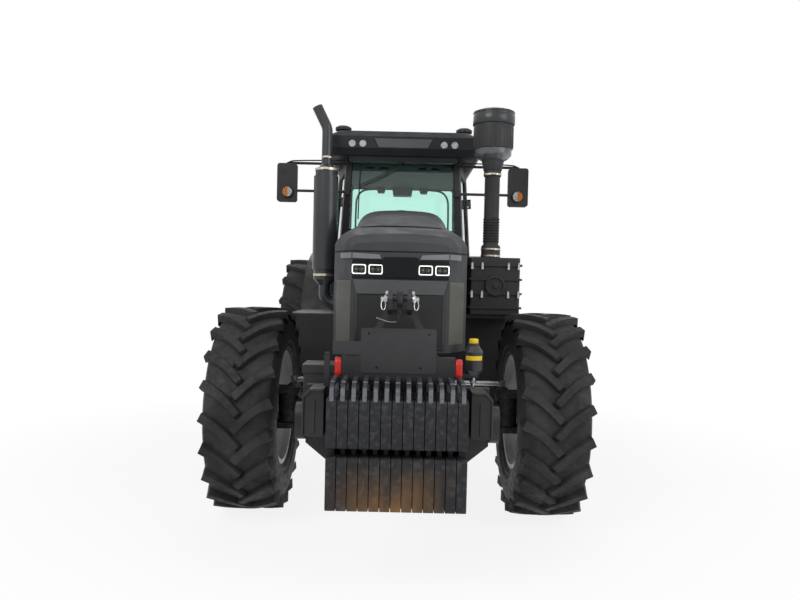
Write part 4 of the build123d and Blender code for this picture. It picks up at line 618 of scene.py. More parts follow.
def wheel_hardware(end, hand, disc_x, bolt_circle, bolts, cap_radius):
    """Nuts on the wheel's disc, and screws for the hub cap."""
    low, high = (Vector(corner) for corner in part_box(f"{end}_rim_{hand}"))
    centre = (low + high) / 2
    side = 1 if hand == "left" else -1
    face = FRONT_WHEEL.x if end == "front" else REAR_WHEEL.x
    plane_x = side * (face + disc_x)
    maker = Maker()
    for i in range(bolts):
        angle = 2 * math.pi * (i + 0.5) / bolts
        place = (plane_x, centre.y + bolt_circle * math.cos(angle), centre.z + bolt_circle * math.sin(angle))
        maker.lathe([(0, 0), (0, 0.023), (side * 0.004, 0.023), (side * 0.004, 0)], place, "X", 20)
        maker.lathe([(0, 0), (0, 0.0165), (side * 0.022, 0.0165), (side * 0.026, 0.012), (side * 0.026, 0)], place, "X", 6)
        maker.lathe([(0, 0), (0, 0.009), (side * 0.038, 0.009), (side * 0.04, 0.007), (side * 0.04, 0)], place, "X", 12)
    maker.piece(f"{end}_nuts_{hand}", "steel", f"wheel_{end}_{hand}", "steel")
    cap = Maker()
    end_x = side * (face + (0.110 if end == "front" else 0.060) + 0.010)
    for i in range(8):
        angle = 2 * math.pi * i / 8
        place = (end_x, centre.y + cap_radius * math.cos(angle), centre.z + cap_radius * math.sin(angle))
        cap.lathe([(-side * 0.012, 0), (-side * 0.012, 0.010), (side * -0.001, 0.010), (side * -0.001, 0)], place, "X", 6)
    cap.piece(f"{end}_hub_screws_{hand}", "steel", f"wheel_{end}_{hand}", "steel")


# Ballast weights: bevelled castings with bent round-edged handles
WEIGHT_COUNT = 13
WEIGHT_PITCH = 0.055
WEIGHT_WIDTH = 0.052
HANDLE_WIDTH = 0.024
HANDLE_RISE = 0.088
LOWER_CAST = cast_metal("earthy_casting", (0.016, 0.0165, 0.018), dirt_below=0.70)
# The handles' casting has a lighter front side, part wear and part painted highlight.
WORN_AND_HIGHLIT_CAST = cast_metal("worn_and_highlit_casting", (0.018, 0.019, 0.022), front_wear_and_highlight=0.15)


def weights():
    """Both rows of weights in place of their CAD solids."""
    low, high = (Vector(corner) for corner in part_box("weights_upper"))
    shoulder = high.z - HANDLE_RISE
    bodies, handles = Maker(), Maker()
    for i in range(WEIGHT_COUNT):
        x = (i - (WEIGHT_COUNT - 1) / 2) * WEIGHT_PITCH
        outline = shifted(rounded(high.y - low.y, shoulder - low.z, 0.014, 3), (low.y + high.y) / 2, (low.z + shoulder) / 2)
        bodies.prism(outline, "X", x - WEIGHT_WIDTH / 2, x + WEIGHT_WIDTH / 2)
        boss = [(low.y + 0.09, low.z + 0.05), (low.y + 0.25, low.z + 0.05), (low.y + 0.25, low.z + 0.19), (low.y + 0.09, low.z + 0.19)]
        bodies.prism(boss, "X", x - WEIGHT_WIDTH / 2 - 0.0013, x + WEIGHT_WIDTH / 2 + 0.0013)
        top = high.z - 0.015
        route = smooth_line([(x, low.y + 0.016, shoulder - 0.03), (x, low.y + 0.016, shoulder + 0.01), (x, low.y + 0.018, shoulder + 0.040),
                             (x, low.y + 0.024, shoulder + 0.050), (x, low.y + 0.062, top - 0.006), (x, low.y + 0.075, top), (x, high.y - 0.07, top),
                             (x, high.y - 0.024, top - 0.012), (x, high.y - 0.018, shoulder + 0.02), (x, high.y - 0.018, shoulder - 0.02)], 3)
        handles.sweep(route, rounded(HANDLE_WIDTH, 0.029, 0.004, 2))
    bodies.piece("upper_weights", "cast", "chassis", "cast", bevel=0.003, replaces=("weights_upper",))
    handles.piece("weight_handles", WORN_AND_HIGHLIT_CAST, "chassis", "cast")
    low, high = (Vector(corner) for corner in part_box("weights_lower"))
    top = low.z + 0.272
    bodies = Maker()
    for i in range(WEIGHT_COUNT):
        x = (i - (WEIGHT_COUNT - 1) / 2) * WEIGHT_PITCH
        outline = ((low.y, low.z + 0.012), (low.y + 0.012, low.z), (high.y - 0.062, low.z), (high.y - 0.002, low.z + 0.06), (high.y, top - 0.01),
                   (high.y - 0.01, top), (low.y + 0.012, top), (low.y, top - 0.012))
        bodies.prism(outline, "X", x - WEIGHT_WIDTH / 2, x + WEIGHT_WIDTH / 2)
        bodies.prism(((low.y + 0.05, low.z + 0.004), (low.y + 0.22, low.z + 0.004), (low.y + 0.22, top - 0.015), (low.y + 0.05, top - 0.015)), "X",
                     x - WEIGHT_WIDTH / 2 - 0.0013, x + WEIGHT_WIDTH / 2 + 0.0013)
        bodies.prism(((low.y + 0.08, top - 0.02), (high.y - 0.03, top - 0.02), (high.y - 0.03, high.z), (low.y + 0.08, high.z)), "X",
                     x - HANDLE_WIDTH / 2, x + HANDLE_WIDTH / 2)
    bodies.piece("lower_weights", LOWER_CAST, "chassis", "cast", bevel=0.003, replaces=("weights_lower",))


weights()


wheel_hardware("front", "left", 0.0735, 0.150, 10, 0.075)
wheel_hardware("front", "right", 0.0735, 0.150, 10, 0.075)
wheel_hardware("rear", "left", -0.0065, 0.165, 12, 0.09)
wheel_hardware("rear", "right", -0.0065, 0.165, 12, 0.09)


# Extra looks for trim
GLOSS_BLACK = paint("gloss_black", (0.006, 0.007, 0.008), 0.3, dust=0.0)
GLOSS_BLACK.node_tree.nodes["Principled BSDF"].inputs["Specular IOR Level"].default_value = 0.12
# Light grey for the brow strips: partly their own light colour, partly a painted reflection.
BROW_GREY_AND_REFLECTION = paint("brow_grey_painted_reflection", (0.16, 0.165, 0.17), 0.4, dust=0.05)
CHIN_GREY = paint("chin_grey", (0.065, 0.067, 0.07), 0.4, dust=0.1)
# Olive grey for the corner meshes: a dark mesh lightened by a painted reflection.
MESH_PAINTED_REFLECTION = paint("olive_mesh_painted_reflection", (0.095, 0.095, 0.082), 0.55, dust=0.0)
# Near-black for painted shade: the hood's panel gap line and the plate's screw holes.
PAINTED_SHADE_BLACK = paint("painted_shade_black", (0.004, 0.004, 0.004), 0.8, dust=0.0)
LIGHT_GUIDE = glowing("light_guide", (0.93, 0.96, 1.0), 0.9)
CHROME = brushed("bright_chrome", (0.42, 0.43, 0.45), 0.28)
LAMP_BOWL = brushed("lamp_bowl", (0.09, 0.10, 0.08), 0.30)
WORN_STEEL = brushed("worn_steel", (0.22, 0.22, 0.23), 0.40)
AMBER = clear("amber_lens", (1.0, 0.32, 0.03), 0.08, 0.6)
CLEAR_LENS = clear("clear_lens", (0.95, 0.96, 0.98), 0.08, 0.7)
SMOKED = clear("smoked_bowl", (0.35, 0.36, 0.38), 0.12, 0.75)
LAMP_GLASS = clear("lamp_glass", (0.28, 0.32, 0.24), 0.15, 0.6)
RED_LENS = clear("red_lens", (0.8, 0.02, 0.015), 0.1, 0.4)
YELLOW = paint("yellow_plastic", (0.75, 0.52, 0.02), 0.35, dust=0.05)
MIRROR = brushed("mirror_silver", (0.85, 0.87, 0.88), 0.03)
CLAMP = brushed("clamp_steel", (0.52, 0.47, 0.38), 0.35)
HOSE = rubber("hose_rubber", 0.6)

HOOD_LOW, HOOD_HIGH = (Vector(corner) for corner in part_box("hood"))
LAMP_LOW, LAMP_HIGH = (Vector(corner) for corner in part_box("headlamps"))
FRONT_FACE = HOOD_LOW.y
LAMP_Z = (LAMP_LOW.z + LAMP_HIGH.z) / 2
LAMP_INNER = 0.150
LAMP_OUTER = 0.250
LAMP_WIDTH = 0.088
LAMP_HEIGHT = 0.062
NOSE_HALF = 0.290
CORNER_PLAN = ((0.290, 0.0), (0.342, 0.0667), (0.415, 0.2))


def corner_strip(side, start, end, out, thick):
    """An outline in plan along the hood's corner, between two shares of its length, standing out from its skin."""
    lengths = [0.0]
    for a, b in zip(CORNER_PLAN, CORNER_PLAN[1:]):
        lengths.append(lengths[-1] + math.dist(a, b))

    def at(share, offset):
        """A point on the corner's plan, moved outwards."""
        travel = share * lengths[-1]
        index = 0 if travel <= lengths[1] else 1
        a, b = CORNER_PLAN[index], CORNER_PLAN[index + 1]
        t = (travel - lengths[index]) / (lengths[index + 1] - lengths[index])
        run = (b[0] - a[0], b[1] - a[1])
        size = math.hypot(*run)
        return (side * (a[0] + t * run[0] + offset * run[1] / size), FRONT_FACE + a[1] + t * run[1] - offset * run[0] / size)

    shares = [start, (start + lengths[1] / lengths[-1]) / 2, lengths[1] / lengths[-1] - 0.001, lengths[1] / lengths[-1] + 0.001, (end + lengths[1] / lengths[-1]) / 2, end]
    return [at(share, out + thick) for share in shares] + [at(share, out) for share in reversed(shares)]


def lattice(name, look, outline_low, outline_high, pitch, width, depth, y):
    """Crossed slanting bars in the XZ plane, trimmed at the narrower of two half widths (half width below, half width
    above).
    """
    (half_low, z_low), (half_high, z_high) = outline_low, outline_high
    maker = Maker()
    height = z_high - z_low
    count = int((2 * half_low + height) / pitch)
    for way in (1, -1):
        for i in range(count):
            x0 = -half_low - height + (i + 0.5) * pitch if way > 0 else half_low + height - (i + 0.5) * pitch
            points = []
            for x_edge, z_edge in ((x0, z_low), (x0 + way * height, z_high)):
                points.append([x_edge, z_edge])
            (xa, za), (xb, zb) = points
            limit = min(half_low, half_high)
            low_t = max(0.0, ((-limit - xa) / (xb - xa)) if way > 0 else ((limit - xa) / (xb - xa)))
            high_t = min(1.0, ((limit - xa) / (xb - xa)) if way > 0 else ((-limit - xa) / (xb - xa)))
            if high_t - low_t < 0.02:
                continue
            a = (xa + low_t * (xb - xa), za + low_t * (zb - za))
            b = (xa + high_t * (xb - xa), za + high_t * (zb - za))
            across = width / 2 * 0.7071
            shift = (across, -way * across)
            level = y + (depth * 0.4 if way > 0 else 0)
            maker.prism(((a[0] - shift[0], a[1] - shift[1]), (a[0] + shift[0], a[1] + shift[1]), (b[0] + shift[0], b[1] + shift[1]),
                         (b[0] - shift[0], b[1] - shift[1])), "Y", level, level + depth)
    maker.piece(name, look, "hood", "mesh")


def hood_front():
    """Lamp band, brow strips, chin panel, front mesh and corner meshes on the hood's nose."""
    band = Maker()
    band.prism(((-NOSE_HALF, LAMP_Z - 0.055), (NOSE_HALF, LAMP_Z - 0.055), (NOSE_HALF, LAMP_Z - 0.034), (-NOSE_HALF, LAMP_Z - 0.034)), "Y", FRONT_FACE - 0.006, FRONT_FACE + 0.001)
    band.prism(((-NOSE_HALF, LAMP_Z + 0.034), (NOSE_HALF, LAMP_Z + 0.034), (NOSE_HALF, LAMP_Z + 0.058), (-NOSE_HALF, LAMP_Z + 0.058)), "Y", FRONT_FACE - 0.006, FRONT_FACE + 0.001)
    for side in (1, -1):
        for a, b in ((LAMP_INNER + LAMP_WIDTH / 2 + 0.002, LAMP_OUTER - LAMP_WIDTH / 2 - 0.002), (LAMP_INNER - LAMP_WIDTH / 2 - 0.014, LAMP_INNER - LAMP_WIDTH / 2 - 0.002)):
            low, high = sorted((side * a, side * b))
            band.prism(((low, LAMP_Z - 0.034), (high, LAMP_Z - 0.034), (high, LAMP_Z + 0.034), (low, LAMP_Z + 0.034)), "Y", FRONT_FACE - 0.006, FRONT_FACE + 0.001)
    band.piece("lamp_band", GLOSS_BLACK, "hood", "body_paint", bevel=0.002)
    centre = Maker()
    centre.prism(((-0.118, LAMP_Z + 0.05), (-0.09, LAMP_Z - 0.05), (0.09, LAMP_Z - 0.05), (0.118, LAMP_Z + 0.05), (0.10, LAMP_Z + 0.075), (-0.10, LAMP_Z + 0.075)), "Y", FRONT_FACE - 0.010, FRONT_FACE - 0.001)
    centre.piece("blank_badge_panel", GLOSS_BLACK, "hood", "body_paint", bevel=0.003)
    # The brow strips' light grey is partly their colour, partly painted reflection.
    brow = Maker()
    for side in (1, -1):
        brow.prism(((side * 0.115, LAMP_Z + 0.062), (side * NOSE_HALF, LAMP_Z + 0.064), (side * NOSE_HALF, LAMP_Z + 0.098), (side * 0.128, LAMP_Z + 0.090)), "Y", FRONT_FACE - 0.008, FRONT_FACE + 0.001)
        brow.prism(corner_strip(side, 0.012, 0.55, 0.0, 0.008), "Z", LAMP_Z + 0.064, LAMP_Z + 0.098)
    brow.piece("brow_strips", BROW_GREY_AND_REFLECTION, "hood", "body_paint", bevel=0.003)
    # A thin dark strip of painted shade stands in for the hood's panel gap.
    seam = Maker()
    seam.prism(((-NOSE_HALF, LAMP_Z + 0.104), (NOSE_HALF, LAMP_Z + 0.104), (NOSE_HALF, LAMP_Z + 0.112), (-NOSE_HALF, LAMP_Z + 0.112)), "Y", FRONT_FACE - 0.0015, FRONT_FACE + 0.001)
    for side in (1, -1):
        seam.prism(corner_strip(side, 0.012, 1.0, 0.0, 0.0015), "Z", LAMP_Z + 0.104, LAMP_Z + 0.112)
        low, high = sorted((side * 0.4145, side * 0.4165))
        seam.box((low, FRONT_FACE + 0.2, LAMP_Z + 0.104), (high, HOOD_HIGH.y - 0.25, LAMP_Z + 0.112))
    seam.piece("hood_seam", PAINTED_SHADE_BLACK, "hood", "body_paint")
    chin = Maker()
    chin.prism(((-0.262, LAMP_Z - 0.148), (0.262, LAMP_Z - 0.148), (0.285, LAMP_Z - 0.062), (-0.285, LAMP_Z - 0.062)), "Y", FRONT_FACE - 0.009, FRONT_FACE + 0.001)
    chin.piece("chin_panel", CHIN_GREY, "hood", "body_paint", bevel=0.004)
    low, high = (Vector(corner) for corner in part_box("grille"))
    mesh_top = LAMP_Z - 0.152
    lattice("front_mesh", "mesh", (0.258, low.z), (0.258, mesh_top), 0.011, 0.0032, 0.002, FRONT_FACE - 0.004)
    frame_bars = Maker()
    for side in (1, -1):
        a, b = sorted((side * 0.256, side * 0.268))
        frame_bars.prism(((a, low.z - 0.002), (b, low.z - 0.002), (b, mesh_top + 0.002), (a, mesh_top + 0.002)), "Y", FRONT_FACE - 0.007, FRONT_FACE + 0.002)
    frame_bars.prism(((-0.268, low.z - 0.012), (0.268, low.z - 0.012), (0.268, low.z), (-0.268, low.z)), "Y", FRONT_FACE - 0.007, FRONT_FACE + 0.002)
    frame_bars.piece("front_mesh_frame", "body_paint", "hood", "body_paint", bevel=0.002)
    # The corner meshes carry the olive grey of a painted reflection.
    corners = Maker()
    for side in (1, -1):
        corners.prism(corner_strip(side, 0.03, 0.80, 0.0, 0.004), "Z", low.z + 0.02, LAMP_Z - 0.068)
    corners.piece("corner_meshes", MESH_PAINTED_REFLECTION, "hood", "mesh", bevel=0.001)
    ribs = Maker()
    z = low.z + 0.03
    while z < LAMP_Z - 0.08:
        for side in (1, -1):
            ribs.prism(corner_strip(side, 0.05, 0.78, 0.004, 0.0015), "Z", z, z + 0.0035)
        z += 0.0085
    ribs.piece("corner_mesh_ribs", MESH_PAINTED_REFLECTION, "hood", "mesh")


def headlamps():
    """Four lamps in place of their CAD solids: a dark housing, a white light guide and two small lenses each."""
    housing, guide, lenses, bowls = Maker(), Maker(), Maker(), Maker()
    for side in (1, -1):
        for x in (LAMP_INNER, LAMP_OUTER):
            centre = side * x
            outer = shifted(rounded(LAMP_WIDTH - 0.004, LAMP_HEIGHT - 0.004, 0.012), centre, LAMP_Z)
            housing.prism(outer, "Y", FRONT_FACE + 0.012, FRONT_FACE + 0.05)
            rings = []
            for width, height, y in ((LAMP_WIDTH - 0.004, LAMP_HEIGHT - 0.004, FRONT_FACE + 0.014), (LAMP_WIDTH - 0.004, LAMP_HEIGHT - 0.004, FRONT_FACE - 0.0015),
                                     (LAMP_WIDTH - 0.015, LAMP_HEIGHT - 0.015, FRONT_FACE - 0.0015), (LAMP_WIDTH - 0.015, LAMP_HEIGHT - 0.015, FRONT_FACE + 0.014)):
                rings.append(guide.ring([(a, y, b) for a, b in shifted(rounded(width, height, 0.010), centre, LAMP_Z)]))
            guide.skin(rings + [rings[0]])
            for step in (-0.017, 0.017):
                bowls.lathe([(0.002, 0), (0.002, 0.016), (-0.012, 0.016), (-0.012, 0.013), (-0.002, 0.008), (-0.002, 0)], (centre + step, FRONT_FACE + 0.014, LAMP_Z), "Y", 24)
                lenses.lathe([(0.0, 0), (0.0, 0.011), (-0.006, 0.009), (-0.009, 0.005), (-0.010, 0)], (centre + step, FRONT_FACE + 0.012, LAMP_Z), "Y", 24)
    housing.piece("headlamp_housings", GLOSS_BLACK, "hood", "black_plastic", replaces=("headlamps",))
    guide.piece("headlamp_light_guides", LIGHT_GUIDE, "hood", "lamp", bevel=0.001)
    bowls.piece("headlamp_bowls", LAMP_BOWL, "hood", "steel")
    lenses.piece("headlamp_lenses", LAMP_GLASS, "hood", "lamp")


hood_front()
headlamps()


def front_hitch():
    """Pins, rings, a jaw and a lever on the top link catcher, flush discs of painted shade for the plate screws' holes,
    edges on the carrier's side boxes and a post on the carrier.
    """
    low, high = (Vector(corner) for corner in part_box("ballast_carrier"))
    catcher_z = high.z - 0.06
    catcher_y = FRONT_PLATE_Y - 0.056
    pins = Maker()
    for side in (1, -1):
        pins.lathe([(0, 0.0138), (0, 0.026), (side * 0.01, 0.028), (side * 0.018, 0.022), (side * 0.022, 0.0165), (side * 0.034, 0.0165), (side * 0.037, 0.013),
                    (side * 0.037, 0), (side * 0.0355, 0), (side * 0.0355, 0.0138)], (side * 0.0655, catcher_y, catcher_z), "X", 24)
        pins.lathe([(0, 0), (0, 0.012), (side * 0.01, 0.012), (side * 0.014, 0.008), (side * 0.014, 0)], (side * 0.0645, catcher_y - 0.012, catcher_z + 0.034), "X", 16)
        ring = [(side * 0.088 + side * 0.012 * math.sin(a), catcher_y - 0.024 + 0.004 * math.cos(a), catcher_z - 0.030 + 0.026 * math.cos(a)) for a in [2 * math.pi * k / 24 for k in range(25)]]
        pins.tube(ring, 0.0028, 8)
    pins.piece("catcher_pins", CHROME, "chassis", "steel")
    jaw = Maker()
    outer = [(catcher_y + 0.040 * math.cos(math.radians(a)), catcher_z + 0.004 + 0.044 * math.sin(math.radians(a))) for a in range(60, 305, 12)]
    inner = [(catcher_y + 0.029 * math.cos(math.radians(a)), catcher_z + 0.029 * math.sin(math.radians(a))) for a in range(300, 55, -12)]
    jaw.prism(outer + inner, "X", -0.016, 0.016)
    jaw.prism(((catcher_y - 0.012, catcher_z - 0.03), (catcher_y + 0.03, catcher_z - 0.03), (catcher_y + 0.05, catcher_z - 0.12), (catcher_y + 0.012, catcher_z - 0.125)), "X", -0.012, 0.012)
    jaw.piece("catcher_jaw", "cast", "chassis", "steel", bevel=0.003)
    lever = Maker()
    lever.tube(smooth_line([(0.01, catcher_y + 0.03, catcher_z - 0.118), (-0.05, catcher_y + 0.012, catcher_z - 0.122), (-0.10, catcher_y - 0.002, catcher_z - 0.108)]), 0.003, 10)
    lever.tube([(-0.10, catcher_y - 0.002, catcher_z - 0.108), (-0.125, catcher_y - 0.006, catcher_z - 0.100)], 0.0045, 12)
    lever.piece("catcher_lever", WORN_STEEL, "chassis", "steel")
    plate_low, plate_high = (Vector(corner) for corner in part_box("blank_plate"))
    # Flush dark discs of painted shade stand in for the plate's screw holes.
    holes = Maker()
    for x, z in ((-0.165, plate_high.z - 0.03), (0.165, plate_high.z - 0.03), (-0.12, plate_low.z + 0.03), (0.12, plate_low.z + 0.03)):
        holes.lathe([(0.0005, 0), (0.0005, 0.007), (-0.0006, 0.007), (-0.0006, 0)], (x, plate_low.y, z), "Y", 16)
    holes.piece("plate_holes", PAINTED_SHADE_BLACK, "chassis", "plate")
    edge = Maker()
    for side in (1, -1):
        face = FRONT_PLATE_Y - 0.165
        route = [(side * 0.494, face, 0.80), (side * 0.494, face, 0.998), (side * 0.459, face, 1.0345), (side * 0.394, face, 1.0345)]
        edge.sweep(route, rounded(0.010, 0.012, 0.003, 2))
        low_x, high_x = sorted((side * 0.432, side * 0.462))
        edge.box((low_x, FRONT_PLATE_Y - 0.166, 0.81), (high_x, FRONT_PLATE_Y - 0.1595, 0.985))
    edge.piece("carrier_box_edges", "frame_paint", "chassis", "frame_paint", bevel=0.002)
    post = Maker()
    post.box((-0.404, FRONT_PLATE_Y - 0.022, 0.962), (-0.374, FRONT_PLATE_Y - 0.0005, 1.21))
    post.prism(((-0.404, 1.21), (-0.374, 1.21), (-0.378, 1.222), (-0.40, 1.222)), "Y", FRONT_PLATE_Y - 0.022, FRONT_PLATE_Y - 0.0005)
    post.piece("carrier_post", "frame_paint", "chassis", "frame_paint", bevel=0.002)


FRONT_PLATE_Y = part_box("weights_upper")[1][1] + 0.0003
front_hitch()


def side_bottle():
    """The accumulator bottle's cap, label and fitting."""
    low, high = (Vector(corner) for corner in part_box("accumulator"))
    x = high.x - 0.058
    y = (low.y + high.y) / 2
    cap = Maker()
    cap.lathe([(0, 0), (0, 0.026), (0.004, 0.028), (0.024, 0.028), (0.028, 0.024), (0.028, 0)], (x, y, high.z - 0.0005), "Z", 24)
    cap.piece("bottle_cap", YELLOW, "chassis", "body_paint", bevel=0.001)
    label = Maker()
    arc = [math.radians(a) for a in range(215, 326, 6)]
    outer = [(x + 0.0592 * math.cos(a), y + 0.0592 * math.sin(a)) for a in arc]
    inner = [(x + 0.0575 * math.cos(a), y + 0.0575 * math.sin(a)) for a in reversed(arc)]
    label.prism(outer + inner, "Z", high.z - 0.098, high.z - 0.072)
    label.piece("bottle_blank_label", YELLOW, "chassis", "body_paint")
    fitting = Maker()
    fitting.lathe([(0, 0), (0, 0.014), (-0.05, 0.014), (-0.05, 0.009), (-0.12, 0.009), (-0.12, 0)], (x, y, low.z + 0.004), "Z", 16)
    fitting.lathe([(0, 0), (0, 0.02), (-0.012, 0.02), (-0.012, 0)], (x, y, low.z - 0.02), "Z", 6)
    fitting.tube(smooth_line([(x, y, low.z - 0.11), (x - 0.02, y + 0.01, low.z - 0.16), (x - 0.10, y + 0.05, low.z - 0.17), (x - 0.20, y + 0.1, low.z - 0.15)]), 0.010, 12)
    fitting.piece("bottle_fitting", "steel", "chassis", "steel")


side_bottle()


def clamp_ring(maker, centre, radius, width):
    """A band clamp with its screw housing, about the Z axis."""
    maker.lathe([(0, radius), (0, radius + 0.003), (width, radius + 0.003), (width, radius)], centre, "Z", 48)
    x, y, z = centre
    maker.box((x - 0.018, y - radius - 0.014, z + 0.001), (x + 0.018, y - radius - 0.001, z + width - 0.001))
    maker.lathe([(-0.024, 0), (-0.024, 0.005), (0.024, 0.005), (0.024, 0)], (x, y - radius - 0.009, z + width / 2), "X", 8)


def exhaust_trim():
    """Clamps on the silencer and the stack, and a heat shield with its bolts on the silencer."""
    low, high = (Vector(corner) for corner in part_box("exhaust"))
    radius = 0.093
    x = -0.640
    y = (low.y + high.y) / 2
    bottom = high.z - 0.48 - 1.012
    top = bottom + 1.012
    clamps = Maker()
    for z in (bottom + 0.055, top - 0.075):
        clamp_ring(clamps, (x, y, z), radius, 0.02)
    clamp_ring(clamps, (x, y, top + 0.03), 0.044, 0.016)
    clamps.piece("exhaust_clamps", CLAMP, "chassis", "steel", bevel=0.0008)
    shield = Maker()
    arc = [math.radians(a) for a in range(190, 351, 8)]
    outer = [(x + (radius + 0.012) * math.cos(a), y + (radius + 0.012) * math.sin(a)) for a in arc]
    inner = [(x + (radius + 0.009) * math.cos(a), y + (radius + 0.009) * math.sin(a)) for a in reversed(arc)]
    shield.prism(outer + inner, "Z", bottom + 0.11, top - 0.12)
    for z in (bottom + 0.14, (bottom + top) / 2, top - 0.16):
        for a in (arc[1], arc[-2]):
            shield.lathe([(0, 0), (0, 0.009), (0.012, 0.009), (0.012, 0)], (x + (radius - 0.002) * math.cos(a), y + (radius - 0.002) * math.sin(a), z), ((math.cos(a), math.sin(a), 0), (0, 0, 1)), 10)
    shield.piece("exhaust_shield", "body_paint", "chassis", "body_paint", bevel=0.001)


exhaust_trim()


def intake():
    """The precleaner in place of its CAD solid: a wide lid, a ribbed bowl, a clear ring and a neck, with clamps below it."""
    low, high = (Vector(corner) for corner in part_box("precleaner"))
    centre = ((low.x + high.x) / 2, (low.y + high.y) / 2, low.z)
    tall = high.z - low.z
    lid = Maker()
    lid.lathe([(tall - 0.115, 0), (tall - 0.115, 0.150), (tall - 0.118, 0.166), (tall - 0.112, 0.1695), (tall - 0.045, 0.1695), (tall - 0.040, 0.166),
               (tall - 0.030, 0.166), (tall - 0.025, 0.1695), (tall - 0.014, 0.167), (tall - 0.004, 0.150), (tall - 0.0005, 0.110), (tall - 0.0005, 0)], centre, "Z", 72)
    lid.piece("precleaner_lid", "body_paint", "chassis", "clear_dome", replaces=("precleaner",))
    bowl = Maker()
    bowl.lathe([(0.165, 0), (0.165, 0.150), (0.170, 0.157), (tall - 0.13, 0.160), (tall - 0.116, 0.158), (tall - 0.116, 0)], centre, "Z", 72)
    for k in range(28):
        angle = 2 * math.pi * k / 28
        x, y = centre[0] + 0.1585 * math.cos(angle), centre[1] + 0.1585 * math.sin(angle)
        bowl.lathe([(0, 0), (0, 0.003), (tall - 0.32, 0.003), (tall - 0.32, 0)], (x, y, low.z + 0.18), "Z", 8)
    bowl.piece("precleaner_bowl", "black_plastic", "chassis", "clear_dome")
    ring = Maker()
    ring.lathe([(0.166, 0.146), (0.166, 0.150), (0.120, 0.146), (0.092, 0.118), (0.080, 0.096), (0.080, 0.092), (0.094, 0.114), (0.121, 0.142)], centre, "Z", 72)
    ring.piece("precleaner_clear_ring", SMOKED, "chassis", "lamp")
    neck = Maker()
    neck.lathe([(0.0005, 0), (0.0005, 0.074), (0.02, 0.077), (0.078, 0.090), (0.10, 0.088), (0.165, 0.076), (0.165, 0)], centre, "Z", 48)
    neck.piece("precleaner_neck", "black_plastic", "chassis", "black_plastic")
    clamps = Maker()
    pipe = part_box("air_cleaner")[1]
    clamp_ring(clamps, (centre[0], centre[1], pipe.z - 0.040 if hasattr(pipe, "z") else pipe[2] - 0.040), 0.0692, 0.014)
    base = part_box("air_cleaner")[1][2] - 0.707
    for z, radius in ((base + 0.066, 0.0772), (base + 0.012, 0.0772)):
        clamp_ring(clamps, (centre[0], centre[1], z), radius, 0.014)
    clamps.piece("intake_clamps", CLAMP, "chassis", "steel", bevel=0.0006)
    hose = Maker()
    rings = []
    for k in range(9):
        z = base + 0.13 + 0.022 * k
        rings += [(z - low.z, 0.0612), (z - low.z + 0.004, 0.066), (z - low.z + 0.012, 0.066), (z - low.z + 0.016, 0.0612)]
    hose.lathe([(base + 0.126 - low.z, 0.0612)] + rings + [(base + 0.33 - low.z, 0.0612), (base + 0.33 - low.z, 0.0602), (base + 0.126 - low.z, 0.0602)], centre, "Z", 48)
    hose.piece("intake_hose", HOSE, "chassis", "black_plastic")
    box_low, box_high = (Vector(corner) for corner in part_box("air_cleaner"))
    face = Maker()
    x, z = 0.7425, box_low.z + 0.032 + 0.223
    face.lathe([(0.001, 0.055), (0.001, 0.079), (-0.006, 0.079), (-0.009, 0.075), (-0.009, 0.062), (-0.003, 0.058)], (x, box_low.y, z), "Y", 48)
    face.lathe([(0.001, 0), (0.001, 0.02), (-0.008, 0.02), (-0.011, 0.016), (-0.011, 0)], (x, box_low.y, z), "Y", 24)
    for k in range(12):
        a = math.radians(15 + 30 * k)
        face.lathe([(0, 0), (0, 0.004), (-0.004, 0.003), (-0.004, 0)], (x + 0.040 * math.cos(a), box_low.y, z + 0.040 * math.sin(a)), "Y", 10)
    face.piece("air_cleaner_cap", "black_plastic", "chassis", "black_plastic", bevel=0.001)
    clips = Maker()
    for x in (0.56, 0.64, 0.845, 0.925):
        for z in (box_low.z + 0.032 + 0.150, box_low.z + 0.032 + 0.372):
            clips.prism(((x - 0.009, z - 0.02), (x + 0.009, z - 0.02), (x + 0.007, z + 0.034), (x - 0.007, z + 0.034)), "Y", box_low.y - 0.006, box_low.y + 0.001)
            clips.tube([(x - 0.006, box_low.y - 0.008, z + 0.03), (x + 0.006, box_low.y - 0.008, z + 0.03)], 0.003, 8)
    clips.piece("air_cleaner_clips", "steel", "chassis", "steel", bevel=0.0008)


intake()


def on_screen(x, z, out=0.0):
    """A point on the windscreen's plane, moved forwards by out."""
    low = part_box("cab_frame")[0]
    return (x, low[1] + 0.150 * (z - low[2]) / 1.36 - out, z)


